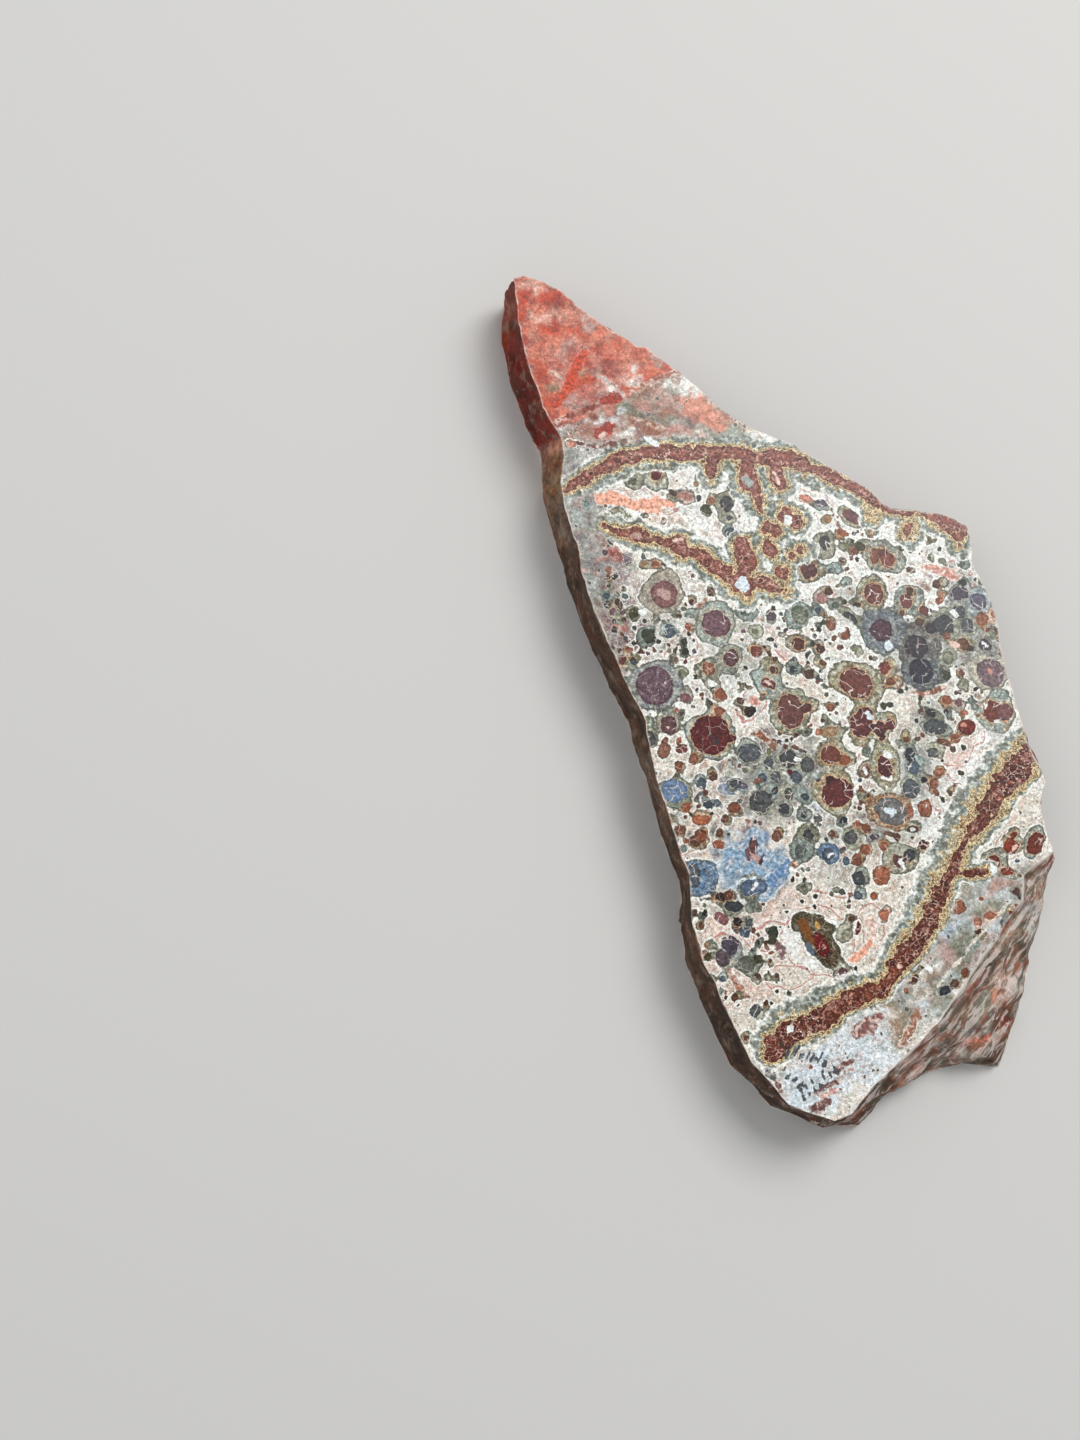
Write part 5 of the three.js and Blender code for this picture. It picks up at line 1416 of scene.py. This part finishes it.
def ground(net, where, outer, murk):
    """Whitish rock between the orbs: fine grain, thin curling lines and scattered small dots."""
    plain = net.read("ground_tint", "Alpha")
    clear = net.scaled(murk, 0.0, 1.0, 1.0, 0.15)
    colour = net.read("ground_tint", "Color")
    for size, edge, stain in ((1.5, 0.56, tone(240, 208, 192)), (1.1, 0.57, tone(190, 198, 190))):
        colour = patched(net, colour, where, size, edge, stained(net, colour, stain), 0.45, 0.05)
    grey = patches(net, tone(140, 146, 142), where, [
        (1.2, 0.5, tone(88, 90, 90), 0.85),
        (1.4, 0.55, tone(138, 112, 92), 0.7),
        (0.8, 0.55, tone(224, 222, 212), 0.9),
    ])
    colour = net.mix(net.times(net.read("band_tint", "Alpha"), 0.85), colour, grey)
    blotch = patches(net, colour, where, [
        (3.6, 0.53, tone(196, 78, 44), 0.5, 0.06),
        (2.6, 0.56, tone(226, 176, 158), 0.5, 0.06),
        (1.8, 0.57, tone(150, 92, 82), 0.45, 0.05),
    ])
    colour = net.mix(net.math("SUBTRACT", 1.0, plain), colour, blotch)
    open_ground = net.times(plain, clear)
    shadow = net.times(net.below(outer, 0.3, 0.3), open_ground)
    colour = net.mix(net.times(shadow, 0.4), colour, stained(net, colour, tone(200, 206, 196)))
    colour = mottled(net, colour, where, 0.6, 0.84, 1.1)
    curl = net.grain(where, 0.8, 3.0, 0.5, 0.8)
    some = net.times(net.scaled(net.grain(where, 2.2), 0.42, 0.54), 0.55)
    brownish = stained(net, colour, tone(164, 136, 124))
    colour = net.line(colour, curl, 0.47, 0.51, 0.015, some, brownish)
    threads = net.grain(where, 1.0, 2.0, 0.5, 1.0)
    colour = net.line(colour, threads, 0.49, 0.52, 0.015, net.times(open_ground, 0.8), tone(250, 250, 246))
    ring = net.add(net.read("ring"), net.swing(net.grain(where, 0.8, 2.0), 0.5))
    colour = net.line(colour, ring, -0.1, 0.1, 0.06, net.times(plain, 0.75), tone(192, 116, 104))
    colour = net.line(colour, ring, 0.12, 0.4, 0.06, net.times(plain, 0.5), TONES["white"])
    contour = net.add(outer, net.swing(net.grain(where, 1.4, 2.0), 1.2))
    colour = net.line(colour, contour, 0.5, 0.6, 0.05, net.times(clear, 0.5), tone(164, 126, 110))
    colour = net.line(colour, outer, 0.0, 0.2, 0.08, net.times(clear, 0.85), tone(246, 246, 240))
    room = net.times(net.scaled(outer, 0.0, 0.25), plain)
    uneven = net.pushed(where, 0.6, 0.5)
    colour = small_dots(net, uneven, colour, room, 0.6, 0.1, 0.32)
    return small_dots(net, uneven, colour, room, 1.3, 0.12, 0.26)


def crackle_lines(net, where, size, width):
    """Thin white cracks between uneven cells, broken up so that only some of them show."""
    cells = net.cells(net.pushed(where, 1.1, 0.9), size, "DISTANCE_TO_EDGE")
    line = net.below(cells.outputs["Distance"], width, width * 0.7)
    return net.times(line, net.scaled(net.grain(where, 1.3, 1.0), 0.47, 0.56))


def halo_colour(net, where, halo, core, murk):
    """Halos are tan near the core and darker at the rim, with curly pale and dark lace."""
    tint = net.read("halo_tint", "Color")
    warmth = net.read("halo_tint", "Alpha")
    near = net.times(net.below(core, 0.55, 0.6), warmth)
    warm = net.times(net.scaled(net.grain(where, 1.3, 3.0, 0.6), 0.42, 0.52), near)
    tint = net.mix(warm, tint, stained(net, tint, tone(222, 168, 120)))
    tint = patched(net, tint, where, 1.5, 0.54, net.shade(tint, 0.5), 0.7, 0.06)
    pale_share = net.scaled(warmth, 0.0, 0.4, 0.25, 0.65)
    tint = patched(net, tint, where, 0.9, 0.56, tone(218, 218, 206), pale_share)
    lace = net.grain(where, 0.75, 2.0, 0.6, 1.2)
    laced = net.scaled(warmth, 0.0, 0.6, 0.25, 0.6)
    tint = net.line(tint, lace, 0.47, 0.505, 0.015, laced, tone(232, 226, 206))
    tint = net.line(tint, lace, 0.55, 0.58, 0.015, laced, tone(84, 78, 62))
    tint = mottled(net, tint, where, 0.5, 0.76, 1.2)
    tint = net.line(tint, halo, -0.26, 0.03, 0.1, net.scaled(murk, 0.0, 1.0, 0.75, 0.4), tone(88, 88, 76))
    seam = net.times(net.below(net.read("halo_lead"), 0.16, 0.08), net.scaled(murk, 0.0, 1.0, 0.6, 0.2))
    tint = net.mix(seam, tint, TONES["cream"])
    return net.mix(net.times(crackle_lines(net, where, 1.5, 0.03), 0.4), tint, TONES["cream"])


def heart_colour(net, where, core, fine):
    """Cores are mottled and speckled, darker at the rim, and crossed by white cracks."""
    tint = net.read("core_tint", "Color")
    tint = patched(net, tint, where, 1.2, 0.55, net.shade(tint, 0.6), 0.6, 0.05)
    tint = mottled(net, tint, where, 0.5, 0.8, 1.22)
    tint = net.mix(net.scaled(fine, 0.62, 0.7, 0.0, 0.35), tint, tone(206, 164, 152))
    tint = net.line(tint, core, -0.26, 0.02, 0.1, 0.5, net.shade(tint, 0.4))
    cracks = net.times(crackle_lines(net, where, 2.0, 0.02), net.read("core_tint", "Alpha"))
    return net.mix(net.times(cracks, 0.9), tint, tone(244, 232, 224))


def orbs(net, where, colour, halo, core, fine, murk):
    """Halos, a tan line round each core, then the cores."""
    inside = net.below(halo, 0.0, 0.06)
    colour = net.mix(inside, colour, halo_colour(net, where, halo, core, murk))
    share = net.times(net.below(halo, -0.1, 0.05), net.times(net.read("halo_tint", "Alpha"), 0.8))
    colour = net.line(colour, core, 0.02, 0.14, 0.05, share, tone(222, 176, 134))
    return net.mix(net.below(core, 0.0, 0.05), colour, heart_colour(net, where, core, fine))


def band_halo_colour(net, where, place):
    """The grey-green halo outside the gold fringe."""
    tint = net.read("band_halo", "Color")
    tint = patched(net, tint, where, 1.4, 0.53, stained(net, tint, tone(210, 196, 166)), 0.7, 0.06)
    tint = patched(net, tint, where, 1.3, 0.56, net.shade(tint, 0.55), 0.6, 0.05)
    tint = patched(net, tint, where, 1.0, 0.53, tone(220, 226, 220), 0.8, 0.05)
    tint = mottled(net, tint, where, 0.5, 0.76, 1.2)
    return net.line(tint, place, 1.3, 1.8, 0.2, 0.4, tone(104, 114, 108))


def band_gold_colour(net, where, place, frayed):
    """The curly, speckled gold fringe."""
    tint = net.mix(net.scaled(place, 0.1, 0.8), tone(134, 88, 54), tone(152, 126, 86))
    tint = patched(net, tint, where, 1.3, 0.51, tone(98, 72, 46), 0.9)
    tint = patched(net, tint, where, 0.9, 0.56, tone(168, 158, 134), 0.7)
    tint = mottled(net, tint, where, 0.5, 0.6, 1.25)
    curls = net.grain(where, 0.6, 2.0, 0.6, 1.6)
    tint = net.line(tint, curls, 0.455, 0.53, 0.015, 0.95, tone(248, 232, 192))
    return net.line(tint, frayed, 0.74, 0.98, 0.06, 0.5, tone(244, 228, 186))


def band_core_colour(net, where, place, fine):
    """The maroon middle, speckled and cracked, with a dark rim and a cream line round it."""
    tint = net.read("band_tint", "Color")
    tint = patched(net, tint, where, 1.6, 0.55, tone(160, 98, 74), 0.5, 0.05)
    tint = patched(net, tint, where, 1.3, 0.54, stained(net, tint, tone(184, 128, 110)), 0.85, 0.05)
    tint = patched(net, tint, where, 0.8, 0.59, tone(222, 182, 170), 0.5)
    tint = mottled(net, tint, where, 0.5, 0.6, 1.25)
    tint = net.mix(net.scaled(fine, 0.58, 0.68, 0.0, 0.65), tint, tone(230, 190, 174))
    tint = net.mix(net.times(crackle_lines(net, where, 1.3, 0.03), 0.65), tint, tone(236, 210, 190))
    tint = net.line(tint, place, -0.6, -0.1, 0.1, 0.45, tone(92, 42, 30))
    return net.line(tint, place, -0.16, 0.04, 0.05, 0.9, tone(242, 222, 180))


def bands(net, where, colour, fine):
    """A white line round each band, then its halo, its gold fringe and its core."""
    coarse = net.swing(net.grain(where, 1.7, 2.0), 2.2)
    lumps = net.add(coarse, net.swing(net.grain(where, 0.6, 4.0, 0.65), 1.7))
    place = net.add(net.read("band"), lumps)
    clear = net.scaled(net.read("band_halo", "Alpha"), 0.0, 1.0, 0.85, 0.1)
    colour = net.line(colour, place, 2.0, 2.4, 0.1, clear, tone(246, 246, 240))
    colour = net.mix(net.below(place, 1.95, 0.3), colour, band_halo_colour(net, where, place))
    frayed = net.add(place, net.swing(net.grain(where, 0.7, 3.0, 0.6), 3.2))
    gilt = net.times(net.below(frayed, 1.0, 0.1), 0.95)
    colour = net.mix(gilt, colour, band_gold_colour(net, where, place, frayed))
    return net.mix(net.below(place, 0.0, 0.07), colour, band_core_colour(net, where, place, fine))


def broken(net, where):
    """Broken stone on the sides, in streaks of the tints that its place gives, duller and darker."""
    slope = net.read("slope")
    streaks = net.mapped(where, STREAK_TURN, (5.5, 1.2, 1.6))
    along = net.grain(streaks, 0.7, 3.0, 0.6, 0.6)
    tint = mottled(net, net.read("ground_tint", "Color"), where, 5.0, 0.6, 1.5)
    tint = patched(net, tint, where, 4.0, 0.53, stained(net, tint, tone(252, 200, 160)), 0.7, 0.06)
    tint = mottled(net, tint, where, 1.1, 0.7, 1.35)
    tint = mottled(net, tint, where, 0.4, 0.76, 1.22)
    light = net.scaled(net.grain(where, 2.6, 5.0, 0.65), 0.53, 0.62, 0.0, 0.5)
    tint = net.mix(light, tint, tone(158, 138, 118))
    olive = net.times(net.scaled(net.grain(where, 2.4, 4.0, 0.6), 0.53, 0.58), slope)
    tint = net.mix(net.times(olive, 0.55), tint, tone(100, 94, 76))
    rusty = net.scaled(net.grain(where, 2.2, 4.0, 0.6, 0.3), 0.53, 0.59, 0.0, 0.6)
    tint = net.mix(rusty, tint, stained(net, tint, tone(226, 150, 116)))
    pale = net.times(net.scaled(along, 0.51, 0.57), slope)
    tint = net.mix(net.times(pale, 0.7), tint, tone(226, 214, 204))
    dark = net.times(net.scaled(along, 0.44, 0.37), net.scaled(slope, 0.0, 1.0, 0.7, 0.6))
    tint = net.mix(dark, tint, tone(72, 62, 52))
    rust_line = net.times(net.scaled(net.grain(streaks, 1.1, 3.0, 0.6, 0.5), 0.55, 0.6), slope)
    tint = net.mix(net.times(rust_line, 0.55), tint, tone(156, 84, 62))
    # A pale strip just under the top rim of the sloping break is a painted highlight.
    painted_lip_highlight = net.scaled(net.height(where), THICKNESS - RIM_FADE, THICKNESS - 0.15)
    return net.mix(net.times(net.times(painted_lip_highlight, slope), 0.8), tint, tone(240, 232, 224))


def stone_material():
    """Markings laid one over the other: ground, veins, orbs, bands and flecks; broken stone on the sides."""
    net = Net("leopard_rhyolite")
    where = net.shade(net.tree.nodes.new("ShaderNodeTexCoord").outputs["Object"], 1 / MM)
    coarse = net.swing(net.grain(where, 1.1, 2.0), 0.8)
    wobble = net.add(coarse, net.swing(net.grain(where, 0.4, 2.0, 0.6), 0.45))
    halo = net.add(net.read("halo"), wobble)
    core = net.add(net.read("core"), wobble)
    fine = net.grain(where, 0.3, 2.0, 0.6)
    murk = net.read("band_halo", "Alpha")
    colour = ground(net, where, net.add(net.read("outer"), wobble), murk)
    vein_tint = net.read("vein_tint", "Color")
    pale_share = net.read("vein_tint", "Alpha")
    vein_tint = patched(net, vein_tint, where, 1.0, 0.53, tone(238, 226, 216), pale_share, 0.05)
    vein_tint = mottled(net, vein_tint, where, 0.5, 0.72, 1.18)
    vein = net.add(net.read("vein"), net.times(wobble, 2.2))
    colour = net.mix(net.times(net.below(vein, 0.0, 0.16), 0.92), colour, vein_tint)
    colour = orbs(net, where, colour, halo, core, fine, murk)
    colour = bands(net, where, colour, fine)
    fleck_tint = mottled(net, net.read("fleck_tint", "Color"), where, 0.3, 0.82, 1.08)
    colour = net.mix(net.below(net.add(net.read("fleck"), wobble), 0.0, 0.05), colour, fleck_tint)
    # Painted highlight: small white glints on specks, laid into the colour.
    painted_highlight_share = net.times(net.scaled(fine, 0.64, 0.7), net.read("painted_glint"))
    colour = net.mix(painted_highlight_share, colour, TONES["white"])
    colour = mottled(net, colour, where, 0.5, 0.84, 1.2)
    colour = mottled(net, colour, where, 0.24, 0.86, 1.18)
    colour = net.shade(net.deepened(colour, 1.26), 1.13)
    # A pale line along the rims of the sawn faces is a painted highlight.
    uneven = net.scaled(net.grain(where, 2.6, 3.0, 0.6), 0.44, 0.56, 0.15, 0.8)
    painted_rim_highlight = net.times(net.scaled(net.read("rim"), 0.25, 0.9), uneven)
    colour = net.mix(painted_rim_highlight, colour, tone(240, 226, 214))
    side = net.read("rind")
    colour = net.mix(side, colour, broken(net, where))
    net.put(net.shader.inputs["Base Color"], colour)
    net.put(net.shader.inputs["Roughness"], net.scaled(side, 0.0, 1.0, 0.3, 0.75))
    net.shader.inputs["Specular IOR Level"].default_value = SHEEN
    bump = net.tree.nodes.new("ShaderNodeBump")
    bump.inputs["Distance"].default_value = BUMP_HEIGHT * MM
    bump.inputs["Strength"].default_value = BUMP_STRENGTH
    relief = net.add(net.times(fine, 0.35), net.times(net.times(net.grain(where, 0.5, 5.0, 0.7), side), 2.6))
    net.put(bump.inputs["Height"], relief)
    net.put(net.shader.inputs["Normal"], bump.outputs[0])
    return net.material


# Stage

def plain_material(name, colour, roughness):
    """A material of one colour."""
    material = bpy.data.materials.new(name)
    material.use_nodes = True
    shader = material.node_tree.nodes["Principled BSDF"]
    shader.inputs["Base Color"].default_value = (*colour, 1.0)
    shader.inputs["Roughness"].default_value = roughness
    return material


def make_floor():
    """The pale floor, which is no part of the slab."""
    bpy.ops.mesh.primitive_plane_add(size=3.0, location=(0, 0, 0))
    floor = bpy.context.object
    floor.name = "floor"
    floor.data.materials.append(plain_material("pale_floor", tone(222, 220, 216), 0.9))


def area_light(name, place, size, power):
    """A square light at a place in metres that shines on the slab's middle."""
    data = bpy.data.lights.new(name, "AREA")
    data.size = size
    data.energy = power
    light = bpy.data.objects.new(name, data)
    light.location = place
    light.rotation_euler = (-Vector(place)).to_track_quat("-Z", "Y").to_euler()
    bpy.context.scene.collection.objects.link(light)


def make_lights():
    """A large key light from the upper right, a weak one from the left, and an even sky."""
    area_light("key_light", (0.35, 0.45, 0.75), 0.5, 5.6)
    area_light("fill_light", (-0.6, 0.1, 0.7), 0.7, 1.1)
    world = bpy.data.worlds.new("studio")
    world.use_nodes = True
    world.node_tree.nodes["Background"].inputs[0].default_value = (*tone(235, 238, 242), 1.0)
    world.node_tree.nodes["Background"].inputs[1].default_value = 0.42
    bpy.context.scene.world = world
    bpy.context.scene.view_settings.view_transform = "Standard"


def make_camera():
    """The camera from which the photograph was taken."""
    data = bpy.data.cameras.new("camera")
    data.lens = LENS
    data.sensor_width = FILM
    camera = bpy.data.objects.new("camera", data)
    turn = Matrix((CAMERA_RIGHT, CAMERA_UP, CAMERA_BACK)).transposed().to_4x4()
    camera.matrix_world = Matrix.Translation(CAMERA_PLACE) @ turn
    bpy.context.scene.collection.objects.link(camera)
    bpy.context.scene.camera = camera


make_camera()
make_lights()
make_floor()
slab = make_slab()
slab.data.materials.append(stone_material())
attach(slab, "root")
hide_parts("rhyolite_slab")
